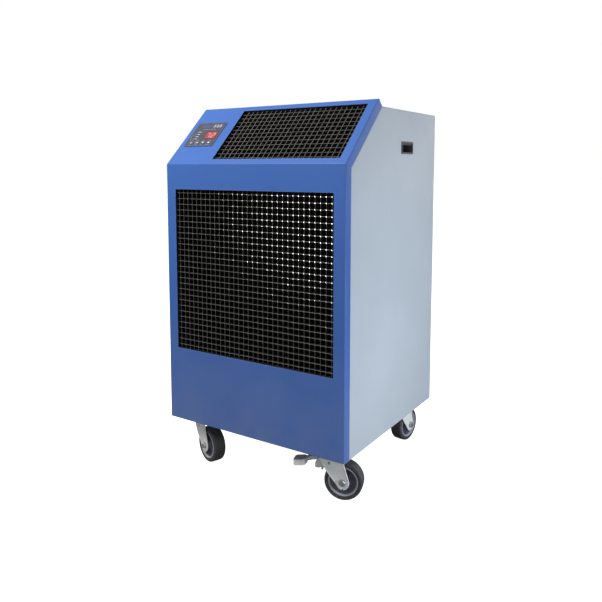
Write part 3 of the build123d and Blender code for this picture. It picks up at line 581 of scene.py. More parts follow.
# ------------------------------------------------------------------ grilles
def egg_crate(name, node, axes, edge):
    """Interlocked blades: cells open right through, eased front edges, a bent tab at each crossing."""
    size = settings("grille")
    low, high = extent(node, axes)
    rim = size.rim
    width = high.x - low.x - 2 * rim
    height = high.y - low.y - 2 * rim
    depth = high.z - low.z
    half = size.blade / 2
    columns = math.ceil(width / size.pitch - 1e-6)
    rows = math.ceil(height / size.pitch - 1e-6)
    draw = random.Random(name)
    lines_x = [(i - columns / 2) * size.pitch for i in range(columns + 1)]
    lines_y = [(i - rows / 2) * size.pitch for i in range(rows + 1)]
    lines_x = [x for x in lines_x if abs(x) < width / 2 - half]
    lines_y = [y for y in lines_y if abs(y) < height / 2 - half]
    # each crossing's own wander, and later each tab's own tilt
    sway_x = [[draw.gauss(0, size.stray) for _ in lines_y] for _ in lines_x]
    sway_y = [[draw.gauss(0, size.stray) for _ in lines_x] for _ in lines_y]
    bm = bmesh.new()

    def strip(stations, across):
        """One blade as a swept section: square at the back, eased at its front edge, whose faces take a
        painted highlight.
        """
        ease = half * 0.75
        section = [(-half, -depth), (half, -depth), (half, -ease), (0.0, 0.0),
                   (-half * 0.5, 0.0), (-half, -ease)]
        rings = []
        for along, centre in stations:
            ring = []
            for offset, out in section:
                point = (centre + offset, along) if across else (along, centre + offset)
                ring.append(bm.verts.new((*point, out)))
            rings.append(ring)
        count = len(section)
        for here, there in zip(rings, rings[1:]):
            for k in range(count):
                face = bm.faces.new((here[k], here[(k + 1) % count], there[(k + 1) % count], there[k]))
                # the front faces take the painted highlight finish
                face.material_index = 1 if k in (2, 3, 4) else 0
        bm.faces.new(rings[0])
        bm.faces.new(rings[-1][::-1])

    for i, x in enumerate(lines_x):
        stations = [(y, x + sway_x[i][j]) for j, y in enumerate(lines_y)]
        ends = [(-height / 2 - half, stations[0][1]), (height / 2 + half, stations[-1][1])]
        strip([ends[0], *stations, ends[1]], True)
    for j, y in enumerate(lines_y):
        stations = [(x, y + sway_y[j][i]) for i, x in enumerate(lines_x)]
        ends = [(-width / 2 - half, stations[0][1]), (width / 2 + half, stations[-1][1])]
        strip([ends[0], *stations, ends[1]], False)
    # slanted tabs, bent a little upwards; mean and spread of their two slopes
    tab = ((0.2, -1.6), (1.7, -1.6), (-0.2, 1.6), (-1.7, 1.6))
    tab_height = size.pip + 0.2 * MM
    tilt_across, tilt_up = (0.05, 0.02), (0.48, 0.02)
    for i, x in enumerate(lines_x):
        for j, y in enumerate(lines_y):
            centre = (x + sway_x[i][j], y + sway_y[j][i])
            tilt_x, tilt_y = draw.gauss(*tilt_across), draw.gauss(*tilt_up)
            head, foot = [], []
            for dx, dy in tab:
                spot = (centre[0] + dx * MM, centre[1] + dy * MM)
                head.append(bm.verts.new((*spot, tab_height - (tilt_x * dx + tilt_y * dy) * MM)))
                foot.append(bm.verts.new((*spot, -half)))
            for k in range(4):
                m = (k + 1) % 4
                # the tab's sides take the painted highlight finish too
                bm.faces.new((foot[k], foot[m], head[m], head[k])).material_index = 1
            bm.faces.new(head).material_index = 2
            bm.faces.new(foot[::-1])
    for sx in (-1, 1):
        x0, x1 = sorted((sx * width / 2, sx * (width / 2 + rim)))
        box(bm, (x0, -height / 2 - rim, -depth), (x1, height / 2 + rim, 0.0))
    for sy in (-1, 1):
        y0, y1 = sorted((sy * height / 2, sy * (height / 2 + rim)))
        box(bm, (-width / 2, y0, -depth), (width / 2, y1, 0.0))
    middle = (low + high) / 2
    place = on_face(axes, middle.x, middle.y, high.z)
    piece(name, bm, place, "cabinet", "black_aluminium", ("black_aluminium", edge, "blade_tab"), (node,),
          angle=20.0)


# ------------------------------------------------------------------ control panel
def seven_segments(bm, centre, width, height, lit_segments, high):
    """One display digit, slanted a little."""
    bar = width * 0.2
    half_w, half_h = width / 2, height / 2
    spots = {
        "a": (0, half_h, True), "g": (0, 0, True), "d": (0, -half_h, True),
        "f": (-half_w, half_h / 2, False), "b": (half_w, half_h / 2, False),
        "e": (-half_w, -half_h / 2, False), "c": (half_w, -half_h / 2, False),
    }
    for key in lit_segments:
        x, y, level = spots[key]
        reach = (half_w if level else half_h / 2) - bar * 0.65
        tip = reach + bar / 2
        outline = [(-tip, 0), (-reach, -bar / 2), (reach, -bar / 2), (tip, 0), (reach, bar / 2),
                   (-reach, bar / 2)]
        if not level:
            outline = [(-q, p) for p, q in outline]
        moved = [(centre[0] + x + p + 0.12 * (y + q), centre[1] + y + q) for p, q in outline]
        flat(bm, moved, 0.0, high)


def bar_mark(bm, x, y, width, height, high, material=0):
    flat(bm, [(x + p, y + q) for p, q in rounded(width, height, min(width, height) * 0.3, 3)],
         0.0, high, material)


def arc_mark(bm, centre, radius, thick, start, end, high, material=0):
    """A flat curved stroke."""
    steps = 18
    outer = ring_points(radius + thick / 2, steps, centre, start, end)
    inner = ring_points(radius - thick / 2, steps, centre, start, end)
    for i in range(steps - 1):
        flat(bm, [inner[i], outer[i], outer[i + 1], inner[i + 1]], 0.0, high, material)


def panel_marks():
    """Printed legends on the control panel: dots, bars, air waves and a ruled border."""
    low, high = extent("control_bezel", SLOPE)
    place = on_face(SLOPE, low.x, low.y, high.z)
    film = 0.12 * MM
    width, height = high.x - low.x, high.y - low.y
    bm = bmesh.new()
    bulb = 1.7 * MM
    for row in range(4):
        y = (38 + row * 12) * MM
        flat(bm, ring_points(bulb, 14, (25 * MM, y)), 0.0, film * 2, 2)
        bar_mark(bm, 34 * MM, y, (9 + 3 * (row % 2)) * MM, 2.2 * MM, film)
    for index in range(4):
        x = (20 + index * 27) * MM
        bar_mark(bm, x + 4 * MM, 6.2 * MM, (12 + 3 * (index % 2)) * MM, 1.8 * MM, film, 1)
        bar_mark(bm, x + 4 * MM, 29.5 * MM, (8 + 3 * (index % 2)) * MM, 1.6 * MM, film, 1)
    for index in range(3):
        centre = ((86 + index * 13) * MM, 101 * MM)
        arc_mark(bm, centre, 4.6 * MM, 1.9 * MM, 0.15 * math.pi, 0.85 * math.pi, film)
        arc_mark(bm, (centre[0], centre[1] + 2.2 * MM), 4.6 * MM, 1.9 * MM, 1.15 * math.pi,
                 1.85 * math.pi, film)
        bar_mark(bm, centre[0], centre[1] + 8.4 * MM, 8 * MM, 1.8 * MM, film)
    for index in range(5):
        bar_mark(bm, (42 + index * 13) * MM, 87 * MM, (8 + 3 * (index % 2)) * MM, 2.6 * MM, film, 1)
    bar_mark(bm, 50 * MM, 104 * MM, 52 * MM, 11 * MM, film / 2, 3)
    arc_mark(bm, (32 * MM, 48 * MM), 24 * MM, 1.1 * MM, 0.72 * math.pi, 1.30 * math.pi, film, 1)
    inset = 3.0 * MM
    line = 0.5 * MM
    for y in (inset, height - inset):
        bar_mark(bm, width / 2, y, width - 4 * inset, line, film, 1)
    for x in (inset, width - inset):
        bar_mark(bm, x, height / 2, line, height - 4 * inset, film, 1)
    piece("panel_legends", bm, place, "cabinet", "panel_overlay",
          ("white_ink", "grey_ink", "lamp", "blue_ink"))


def display_digits():
    """Two lit digits and the dark frame round the window."""
    low, high = extent("display_window", SLOPE)
    middle = (low + high) / 2
    place = on_face(SLOPE, middle.x, middle.y, high.z)
    width, height = high.x - low.x, high.y - low.y
    bm = bmesh.new()
    for side, segments in ((-1, "abc"), (1, "abged")):
        seven_segments(bm, (side * width * 0.21, 0.0), width * 0.23, height * 0.60, segments, 0.15 * MM)
    piece("display_digits", bm, place, "cabinet", "red_display", ("digit",))
    bm = bmesh.new()
    steps = 5
    outer = rounded(width + 5 * MM, height + 5 * MM, 2.5 * MM, steps)
    inner = rounded(width, height, 1.2 * MM, steps)
    base = high.z - extent("control_bezel", SLOPE)[1].z
    count = len(outer)
    lower = [bm.verts.new((*p, -base)) for p in outer]
    upper = [bm.verts.new((p[0] * 0.985, p[1] * 0.985, 0.5 * MM)) for p in outer]
    lip = [bm.verts.new((*p, 0.5 * MM)) for p in inner]
    foot = [bm.verts.new((*p, -base)) for p in inner]
    for i in range(count):
        j = (i + 1) % count
        for a, b in ((lower, upper), (upper, lip), (lip, foot), (foot, lower)):
            bm.faces.new((a[i], a[j], b[j], b[i]))
    piece("display_surround", bm, place, "cabinet", "black_plastic", ("black_plastic",))


def key_marks():
    """A symbol on each key: power ring, mode bars, and two arrows."""
    film = 0.12 * MM
    for key in KEYS:
        low, high = extent(key, SLOPE)
        middle = (low + high) / 2
        place = on_face(SLOPE, middle.x, middle.y, high.z)
        bm = bmesh.new()
        if key == "key_power":
            arc_mark(bm, (0.0, 0.0), 3.1 * MM, 1.2 * MM, 0.68 * math.pi, 2.32 * math.pi, film)
            bar_mark(bm, 0.0, 2.4 * MM, 1.2 * MM, 4.2 * MM, film)
        elif key == "key_mode":
            for row in (-1, 0, 1):
                bar_mark(bm, 0.0, row * 2.6 * MM, 9.0 * MM, 1.3 * MM, film)
        else:
            way = -1 if key == "key_down" else 1
            foot = -way * 3.4 * MM
            arrow = [(-5.0 * MM, foot), (5.0 * MM, foot), (0.0, way * 4.2 * MM)]
            flat(bm, arrow[::way], 0.0, film)
        piece(f"{key}_symbol", bm, place, key, "key_film", ("white_ink",))


# ------------------------------------------------------------------ handles
def recessed_handle(node, axes):
    """Moulded pocket: rounded bezel, drafted walls, a finger bar along the top edge."""
    low, high = extent(node, axes)
    middle = (low + high) / 2
    place = on_face(axes, middle.x, middle.y, high.z)
    width, height, depth = high - low
    border = 6.5 * MM
    stand = 1.5 * MM
    skin = 2.2 * MM
    steps = 6
    loops = [
        (rounded(width, height, 3.0 * MM, steps), -stand),
        (rounded(width - 0.6 * MM, height - 0.6 * MM, 2.8 * MM, steps), -0.5 * MM),
        (rounded(width - 1.8 * MM, height - 1.8 * MM, 2.6 * MM, steps), 0.0),
        (rounded(width - 2 * border + 2.4 * MM, height - 2 * border + 2.4 * MM, 2.6 * MM, steps), 0.0),
        (rounded(width - 2 * border, height - 2 * border, 2.2 * MM, steps), -1.6 * MM),
        (rounded(width - 2 * border - 5 * MM, height - 2 * border - 3 * MM, 3.0 * MM, steps),
         -depth + skin + 3 * MM),
        (rounded(width - 2 * border - 12 * MM, height - 2 * border - 9 * MM, 3.0 * MM, steps), -depth + skin),
    ]
    bm = bmesh.new()
    rings = [[bm.verts.new((*point, z)) for point in points] for points, z in loops]
    count = len(rings[0])
    for here, there in zip(rings, rings[1:]):
        for i in range(count):
            j = (i + 1) % count
            bm.faces.new((here[i], here[j], there[j], there[i]))
    bm.faces.new(rings[-1])
    back = [[bm.verts.new((*point, z)) for point in points] for points, z in (
        (rounded(width - 2 * border + skin, height - 2 * border + skin, 3.0 * MM, steps), -stand),
        (rounded(width - 2 * border - 2 * MM, height - 2 * border - 2 * MM, 3.0 * MM, steps), -depth))]
    for i in range(count):
        j = (i + 1) % count
        bm.faces.new((rings[0][i], back[0][i], back[0][j], rings[0][j]))
        bm.faces.new((back[0][i], back[1][i], back[1][j], back[0][j]))
    bm.faces.new(back[1])
    bar_top = height / 2 - border + 0.3 * MM
    bar_low = bar_top - 6.5 * MM
    section = [(bar_low + 2 * MM, -9 * MM), (bar_low, -7 * MM), (bar_low + 0.6 * MM, -3.2 * MM),
               (bar_low + 3 * MM, -1.9 * MM), (bar_top, -1.7 * MM), (bar_top, -9 * MM)]
    reach = width / 2 - border - 0.3 * MM
    ends = [[bm.verts.new((x, y, z)) for y, z in section] for x in (-reach, reach)]
    for i in range(len(section)):
        j = (i + 1) % len(section)
        bm.faces.new((ends[0][i], ends[0][j], ends[1][j], ends[1][i]))
    bm.faces.new(ends[0])
    bm.faces.new(ends[1])
    piece(f"{node}_moulding", bm, place, "cabinet", "black_plastic", ("black_plastic",), (node,))


# ------------------------------------------------------------------ casters
RIM_RADIUS = 49 * MM  # where the tyre sits on the hub
LEG_FACE = 30.5 * MM  # wheel's middle to the fork's outer faces
CROWN_RIVET = (-22, 19)  # rivet ahead of the swivel axis and below the crown, in millimetres
BRAKE_PIN = (-6, 124)  # brake's pin ahead of the swivel axis and above the floor, in millimetres


class Caster:
    """One caster's own frame: the swivel axis on z, the floor at 0, the wheel trailing along +x."""

    def __init__(self, corner):
        self.corner = corner
        self.swivel_body = corner + "_swivel"
        self.wheel_body = corner + "_wheel"
        swivel = Vector(JOINTS[corner + "_swivel_turn"]["pos_m"])
        roll = JOINTS[corner + "_wheel_roll"]
        hub = Vector(roll["pos_m"])
        axle = Vector(roll["axis"])
        trail = axle.cross(Vector((0, 0, 1)))
        self.axes = (trail, axle, Vector((0, 0, 1)))
        self.place = basis(self.axes, Vector((swivel.x, swivel.y, 0.0)))
        self.radius = hub.z
        self.trail = (hub - swivel).dot(trail)
        self.wheel_place = basis(self.axes, hub)
        low, high = extent(corner + "_tyre", self.axes)
        self.tyre_half = (high.y - low.y) / 2
        low, high = extent(corner + "_hub", self.axes)
        self.hub_half = (high.y - low.y) / 2
        self.crown_top = extent(corner + "_fork", self.axes)[1].z
        self.braked = corner + "_brake_press" in JOINTS

    def add(self, name, bm, finishes, slot, replaced=(), wheel=False, **choices):
        place = self.wheel_place if wheel else self.place
        body = self.wheel_body if wheel else self.swivel_body
        return piece(f"{self.corner}_{name}", bm, place, body, slot, finishes, replaced, **choices)


def tyre(caster):
    """Solid tyre: crowned tread with a mould line, rounded shoulders, a step at the rim."""
    radius, half = caster.radius, caster.tyre_half
    rim = RIM_RADIUS
    side = [(rim, -half + 2 * MM), (rim + 0.8 * MM, -half + 0.9 * MM), (rim + 2.4 * MM, -half + 0.5 * MM),
            (rim + 3.2 * MM, -half), (radius - 6.5 * MM, -half + 0.2 * MM)]
    shoulder = [(radius - 6.3 * MM + 5.6 * MM * math.sin(turn), -half + 5.8 * MM - 5.6 * MM * math.cos(turn))
                for turn in [math.radians(12 + 13 * i) for i in range(7)]]
    tread = [(radius - 0.45 * MM, -half + 8 * MM), (radius - 0.75 * MM, -half + 8.5 * MM),
             (radius - 0.35 * MM, -half + 9.0 * MM), (radius - 0.1 * MM, -5 * MM),
             (radius - 0.05 * MM, -0.7 * MM), (radius, -0.25 * MM)]
    left = side + shoulder + tread
    profile = left + [(r, -a) for r, a in reversed(left)]
    bm = bmesh.new()
    lathe(bm, profile, settings("caster").facets)
    caster.add("tread", bm, ("tyre_rubber",), "tyre_rubber", (f"{caster.corner}_tyre",), wheel=True)


def hub(caster):
    """Moulded hub: rim band in a lighter finish that paints the highlight on the rim lip, dished and ribbed
    web, boss round the axle.
    """
    half = caster.tyre_half
    boss = caster.hub_half
    rim = RIM_RADIUS
    left = [(6.6 * MM, -boss + 0.4 * MM), (7.4 * MM, -boss), (14.5 * MM, -boss),
            (16.0 * MM, -boss + 1.4 * MM),
            (17.5 * MM, -half + 4 * MM), (20 * MM, -half + 8.5 * MM), (24 * MM, -half + 9.5 * MM),
            (33 * MM, -half + 9.5 * MM), (35 * MM, -half + 8.4 * MM), (40.5 * MM, -half + 7.6 * MM),
            (43.2 * MM, -half + 6.2 * MM), (44.4 * MM, -half + 2.4 * MM), (45.2 * MM, -half + 0.9 * MM),
            (46.2 * MM, -half + 0.3 * MM), (48.0 * MM, -half + 0.4 * MM), (48.8 * MM, -half + 1.0 * MM),
            (rim, -half + 2.0 * MM)]
    profile = left + [(r, -a) for r, a in reversed(left)]
    # the rim lip's profile points take the lighter, painted highlight finish
    first_bright, last_bright = 10, 15
    size = len(profile)

    def band(k):
        mirrored = size - 2 - k
        return 1 if first_bright <= k <= last_bright or first_bright <= mirrored <= last_bright else 0

    bm = bmesh.new()
    lathe(bm, profile, settings("caster").facets, material_at=band)
    ribs = 12
    for side in (-1, 1):
        for index in range(ribs):
            turn = Matrix.Rotation(math.tau * (index + 0.5) / ribs, 4, "Y")
            y0, y1 = sorted((side * (half - 10.5 * MM), side * (half - 5.0 * MM)))
            faces = box(bm, (17 * MM, y0, -0.9 * MM), (42.5 * MM, y1, 0.9 * MM))
            verts = {v for face in faces for v in face.verts}
            bmesh.ops.transform(bm, matrix=turn, verts=list(verts))
    caster.add("hub_moulding", bm, ("wheel_hub", "rim"), "wheel_hub", (f"{caster.corner}_hub",), wheel=True)


def leg_edges(caster, z):
    """Front and rear edge of a fork leg at a height: wide crown, straight flanks, round end."""
    end = 20 * MM
    top = caster.crown_top
    cx, cz = caster.trail, caster.radius
    rear = [(top, 34), (top - 37.5 * MM, 42), (cz + 6 * MM, 56.2)]
    front = [(top, -38), (top - 17.5 * MM, -38), (top - 55.5 * MM, -18), (cz - 11 * MM, 20.6)]

    def follow(outline):
        for (z0, x0), (z1, x1) in zip(outline, outline[1:]):
            if z1 <= z <= z0 + 1e-9:
                return (x0 + (x1 - x0) * (z0 - z) / (z0 - z1)) * MM
        return None

    chord = math.sqrt(max(end * end - (z - cz) ** 2, 0.0))
    right = follow(rear)
    left = follow(front)
    return (cx - chord if left is None else left, cx + chord if right is None else right)


def fork(caster):
    """Pressed fork: one strip of sheet bent down on both sides of the wheel, and a lip under its crown."""
    sheet = settings("caster").sheet
    bend = settings("caster").bend
    top = caster.crown_top
    outer = LEG_FACE
    end = 20 * MM
    floor_z = caster.radius - 19.9 * MM
    heights = [top - drop * MM for drop in (17.5, 37.5, 46, 55.5, 64)]
    heights += [height * MM for height in (82, 76, 69.5, 63, 57, 52.5)]
    heights += [caster.radius - end * math.sin(math.radians(turn)) for turn in (45, 56, 66, 75, 82, 87)]
    heights = sorted({max(height, floor_z) for height in heights}, reverse=True)
    rows = []
    steps = 5
    crown = [(outer - bend) * (1 - i / 2) for i in range(3)]
    for y in reversed(crown):
        rows.append((y, top, top))
    for i in range(1, steps + 1):
        turn = math.radians(90) * i / steps
        z = top - bend + bend * math.cos(turn)
        rows.append((outer - bend + bend * math.sin(turn), z, top))
    for z in heights:
        rows.append((outer, z, z))
    full = [(-y, z, ref) for y, z, ref in reversed(rows[1:])] + rows
    columns = (0.0, 0.035, 0.12, 0.5, 0.88, 0.965, 1.0)
    bm = bmesh.new()
    grid = []
    for y, z, ref in full:
        left, right = leg_edges(caster, min(ref, z))
        line = []
        for t in columns:
            lip = 1.0 if t in (0.0, 1.0) and z < top - bend else 0.0
            line.append(bm.verts.new((left + (right - left) * t, y + math.copysign(0.9 * MM, y) * lip, z)))
        grid.append(line)
    for here, there in zip(grid, grid[1:]):
        for k in range(len(columns) - 1):
            bm.faces.new((here[k], here[k + 1], there[k + 1], there[k]))
    made = caster.add("fork_pressing", bm, ("zinc_plate",), "zinc_plate", (f"{caster.corner}_fork",))
    solid = made.modifiers.new("sheet", "SOLIDIFY")
    solid.thickness = sheet
    solid.offset = -1.0
    rounding = made.modifiers.new("edges", "BEVEL")
    rounding.width = 0.7 * MM
    rounding.segments = 2
    rounding.limit_method = "ANGLE"
    rounding.angle_limit = math.radians(50)
    bm = bmesh.new()
    box(bm, (31 * MM, -22 * MM, top - 17 * MM), (34 * MM, 22 * MM, top - 0.4 * MM))
    caster.add("crown_lip", bm, ("zinc_plate",), "zinc_plate", bevel=0.6 * MM)


def hex_head(bm, across, y0, y1, x=0.0, z=0.0, turn=0.0, material=0):
    """A hexagon head or nut along y with chamfered corners on its outer face (at y1)."""
    corner = across / math.sqrt(3)
    way = 1 if y1 > y0 else -1
    chamfer = min(abs(y1 - y0) * 0.22, across * 0.07)
    loops = [(corner, y0), (corner, y1 - way * chamfer), (corner * 0.9, y1)]
    rings = []
    for radius, y in loops:
        rings.append([bm.verts.new((x + radius * math.cos(turn + math.tau * i / 6), y,
                                    z + radius * math.sin(turn + math.tau * i / 6))) for i in range(6)])
    for here, there in zip(rings, rings[1:]):
        for i in range(6):
            bm.faces.new((here[i], here[(i + 1) % 6], there[(i + 1) % 6], there[i])).material_index = material
    bm.faces.new(rings[0]).material_index = material
    bm.faces.new(rings[-1]).material_index = material


def shift_new(bm, start, offset):
    """Moves every vertex added since start."""
    bm.verts.ensure_lookup_table()
    for vertex in bm.verts[start:]:
        vertex.co += offset


def disc(bm, radius, y0, y1, centre=(0.0, 0.0), edge=0.3 * MM):
    """A round along y with eased rims, such as a washer, a rivet or a pin's end."""
    start = len(bm.verts)
    low, high = sorted((y0, y1))
    profile = [(1e-7, low), (radius - edge, low), (radius, low + edge), (radius, high - edge),
               (radius - edge, high), (1e-7, high)]
    lathe(bm, profile, 32)
    shift_new(bm, start, Vector((centre[0], 0.0, centre[1])))


def dome(bm, radius, y0, height, centre, way):
    """A button rivet head standing off a face at y0."""
    start = len(bm.verts)
    arc = [(radius * math.cos(math.radians(a)), y0 + way * height * math.sin(math.radians(a)))
           for a in range(0, 90, 15)]
    lathe(bm, [(1e-7, y0), *arc, (1e-7, y0 + way * height)], 28)
    shift_new(bm, start, Vector((centre[0], 0.0, centre[1])))


def axle_bolt(caster):
    """Axle bolt: head and washer one side, washer, lock nut and thread end the other."""
    low, high = extent(f"{caster.corner}_axle", caster.axes)
    centre = caster.wheel_place.translation.dot(caster.axes[1])
    near, far = low.y - centre, high.y - centre
    bm = bmesh.new()
    leg = LEG_FACE
    hex_head(bm, 19 * MM, -leg - 2.2 * MM, near, turn=0.2)
    disc(bm, 12 * MM, -leg - 2.3 * MM, -leg - 0.2 * MM)
    disc(bm, 5.8 * MM, -leg - 1 * MM, leg + 1 * MM)
    disc(bm, 12 * MM, leg + 0.2 * MM, leg + 2.3 * MM)
    hex_head(bm, 19 * MM, leg + 2.2 * MM, leg + 9 * MM, turn=0.5)
    disc(bm, 7.2 * MM, leg + 8 * MM, leg + 10.4 * MM, edge=1 * MM)
    disc(bm, 5.2 * MM, leg + 8 * MM, far, edge=0.7 * MM)
    place = caster.wheel_place
    piece(f"{caster.corner}_axle_bolt", bm, place, caster.swivel_body, "bolt_steel", ("bolt_steel",),
          (f"{caster.corner}_axle",))


def swivel_head(caster):
    """Top plate with its pressed ball race and kingpin nut."""
    square = (Vector((1, 0, 0)), Vector((0, 1, 0)), Vector((0, 0, 1)))
    low, high = extent(f"{caster.corner}_caster_plate", square)
    width, depth = high.x - low.x, high.y - low.y
    top = high.z
    thick = 5 * MM
    bm = bmesh.new()
    flat(bm, rounded(width, depth, 9 * MM, 6), top - thick, top)
    race_low = caster.crown_top + 0.3 * MM
    race = [(1e-7, top - thick), (29 * MM, top - thick), (31.5 * MM, top - thick - 0.8 * MM),
            (32.5 * MM, top - thick - 2.6 * MM), (32.2 * MM, top - thick - 4.6 * MM), (30 * MM, race_low),
            (26 * MM, race_low + 0.2 * MM), (1e-7, race_low + 0.2 * MM)]
    lathe(bm, race, 56, axis="Z")
    under = caster.crown_top - 4.5 * MM
    nut = [(1e-7, under - 0.3 * MM), (10.5 * MM, under - 0.3 * MM), (11 * MM, under - 1 * MM),
           (11 * MM, under - 4.8 * MM), (9.5 * MM, under - 6 * MM), (1e-7, under - 6 * MM)]
    lathe(bm, nut, 40, axis="Z")
    place = Matrix.Translation((caster.place.translation.x, caster.place.translation.y, 0.0))
    piece(f"{caster.corner}_swivel_head", bm, place, "cabinet", "zinc_plate", ("zinc_plate",),
          (f"{caster.corner}_caster_plate",), bevel=0.4 * MM)


def swivel_rivets(caster):
    """Rivets near the crown on both legs, and the brake's pivot ends where there is a brake."""
    bm = bmesh.new()
    leg = LEG_FACE + 0.1 * MM
    for way in (-1, 1):
        dome(bm, 5.0 * MM, way * leg, 2.2 * MM, (BRAKE_PIN[0] * MM, BRAKE_PIN[1] * MM), way)
        if not caster.braked:
            spot = (CROWN_RIVET[0] * MM, caster.crown_top - CROWN_RIVET[1] * MM)
            dome(bm, 4.0 * MM, way * leg, 1.8 * MM, spot, way)
    caster.add("crown_rivets", bm, ("bolt_steel",), "bolt_steel")


def brake_lever(caster):
    """Brake lever: plated bracket and shoe, grey arm, and a cupped pedal."""
    bm = bmesh.new()
    side = 17 * MM
    plate = 3 * MM
    ear = [(-1, 118), (1, 127), (-10, 132), (-34, 141), (-57, 114), (-56, 99), (-44, 98)]

    def upright(points, y0, y1, material=0):
        """An outline in x and z given thickness along y."""
        start = len(bm.verts)
        flat(bm, [(x * MM, z * MM) for x, z in points], y0, y1, material)
        bm.verts.ensure_lookup_table()
        for vertex in bm.verts[start:]:
            vertex.co = Vector((vertex.co.x, vertex.co.z, vertex.co.y))

    for way in (-1, 1):
        y0, y1 = sorted((way * side, way * (side - plate)))
        upright(ear, y0, y1)
    upright([(-57, 113), (-36, 139), (-33, 137), (-53.5, 112.5)], -side + 0.2 * MM, side - 0.2 * MM)
    upright([(-57, 100), (-56.6, 106), (-53.6, 106), (-54, 99.5)], -side + 0.2 * MM, side - 0.2 * MM)
    upright([(-24, 110), (-31, 92.8), (-38, 96.5), (-31, 112.5)], -side, side)
    arm = [(-12, 130), (-34, 141), (-66, 136), (-97, 118), (-97, 113), (-66, 131), (-36, 136),
           (-14, 126)]
    upright(arm, -11 * MM, 11 * MM, 1)
    cheek = [(-36, 141), (-66, 136), (-95, 119), (-95, 112), (-68, 121), (-38, 127)]
    for way in (-1, 1):
        y0, y1 = sorted((way * 14 * MM, way * 11 * MM))
        upright(cheek, y0, y1, 1)
    body = f"{caster.corner}_brake"
    piece(f"{caster.corner}_brake_bracket", bm, caster.place, body, "zinc_plate", ("zinc_plate", "pedal"),
          (f"{caster.corner}_brake_lever",), bevel=0.5 * MM)
    bm = bmesh.new()
    loops = ((-9.0, -0.6), (-3.0, 0.0), (-1.0, -0.5), (0.0, -2.0), (0.6, -8.0), (1.0, -14.0), (2.2, -15.6),
             (3.0, -17.4), (2.2, -19.4), (0.0, -19.8), (-2.6, -18.6), (-3.4, -14.0), (-5.0, -3.4))
    rings = []
    for out, drop in loops:
        points = rounded((40 + out) * MM, (41 + out) * MM, (10 + out / 2) * MM, 7)
        rings.append([bm.verts.new((*point, drop * MM)) for point in points])
    pad_loops = 3
    for k, (here, there) in enumerate(zip(rings, rings[1:])):
        for i in range(len(here)):
            j = (i + 1) % len(here)
            bm.faces.new((here[i], here[j], there[j], there[i])).material_index = 0 if k < pad_loops else 1
    bm.faces.new(rings[0])
    bm.faces.new(rings[-1])
    tilt = Matrix.Rotation(math.radians(-8), 4, "Y")
    place = caster.place @ Matrix.Translation((-112 * MM, 0.0, 119 * MM)) @ tilt
    piece(f"{caster.corner}_brake_pedal", bm, place, body, "zinc_plate", ("pedal", "zinc_plate"))


# ------------------------------------------------------------------ operators
class AC_OT_finishes(bpy.types.Operator):
    """Build the shared effects and every finish"""

    bl_idname = "air_conditioner.finishes"
    bl_label = "Finishes"

    def execute(self, context):
        for name, maker in GROUP_MAKERS.items():
            GROUPS[name] = maker()
        FINISHES.update(make_finishes())
        return {"FINISHED"}


class AC_OT_stage(bpy.types.Operator):
    """Set up the floor, the lights and the camera"""

    bl_idname = "air_conditioner.stage"
    bl_label = "Stage"

    def execute(self, context):
        stage = settings("stage")
        scene = context.scene
        lens = bpy.data.cameras.new("camera")
        lens.lens = stage.lens
        lens.shift_y = stage.shift
        camera = bpy.data.objects.new("camera", lens)
        camera.location = stage.eye
        camera.rotation_euler = (math.pi / 2 - stage.dip, 0.0, stage.heading)
        scene.collection.objects.link(camera)
        scene.camera = camera
        scene.view_settings.view_transform = "Standard"
        world = bpy.data.worlds.new("studio")
        scene.world = world
        world.use_nodes = True
        air = Shader(world.node_tree)
        seen = air.add("ShaderNodeLightPath").outputs["Is Camera Ray"]
        sky = world.node_tree.nodes["Background"]
        sky.inputs["Color"].default_value = (1.0, 1.0, 1.0, 1.0)
        air.put(sky.inputs["Strength"], air.span(seen, 0.0, 1.0, stage.light, 1.0))
        ground = Finish("floor", tuple(stage.floor), 0.8)
        seen = ground.add("ShaderNodeLightPath").outputs["Is Camera Ray"]
        cloud = ground.span(ground.noise(ground.place(), 3.0), 0.3, 0.7)
        pale = ground.mix(cloud, shade(tuple(stage.floor), 0.985), tuple(stage.floor))
        ground.set("Base Color", ground.mix(seen, shade(tuple(stage.floor), 0.3), pale))
        ground.set("Emission Color", pale)
        ground.set("Emission Strength", ground.math("MULTIPLY", seen, stage.glow))
        ground.set("Specular IOR Level", 0.1)
        bm = bmesh.new()
        floor_radius = 60.0
        floor_thick = 0.02
        flat(bm, ring_points(floor_radius, 96), -floor_thick, 0.0)
        mesh = bpy.data.meshes.new("floor")
        bmesh.ops.recalc_face_normals(bm, faces=bm.faces)
        bm.to_mesh(mesh)
        bm.free()
        mesh.materials.append(ground.material)
        floor = bpy.data.objects.new("floor", mesh)
        scene.collection.objects.link(floor)
        middle = (CAD_BOX[0] + CAD_BOX[1]) / 2
        # each lamp's place, width, power and tint
        lights = {
            "overhead": ((-0.5, -1.6, 2.5), 1.3, 50.0, (1.0, 0.99, 0.97)),
            "right": ((1.45, -0.1, 0.50), 0.8, 11.0, (0.80, 0.89, 1.0)),
            "left": ((-2.6, 0.3, 1.4), 1.6, 30.0, (1.0, 1.0, 1.0)),
            "rear": ((0.4, 2.8, 1.5), 1.6, 34.0, (1.0, 1.0, 1.0)),
        }
        for name, (spot, size, power, tint) in lights.items():
            lamp = bpy.data.lights.new(name, "AREA")
            lamp.size = size
            lamp.energy = power
            lamp.color = tint
            made = bpy.data.objects.new(name, lamp)
            made.location = spot
            made.rotation_euler = (Vector(spot) - middle).to_track_quat("Z", "Y").to_euler()
            made.visible_camera = False
            scene.collection.objects.link(made)
        return {"FINISHED"}


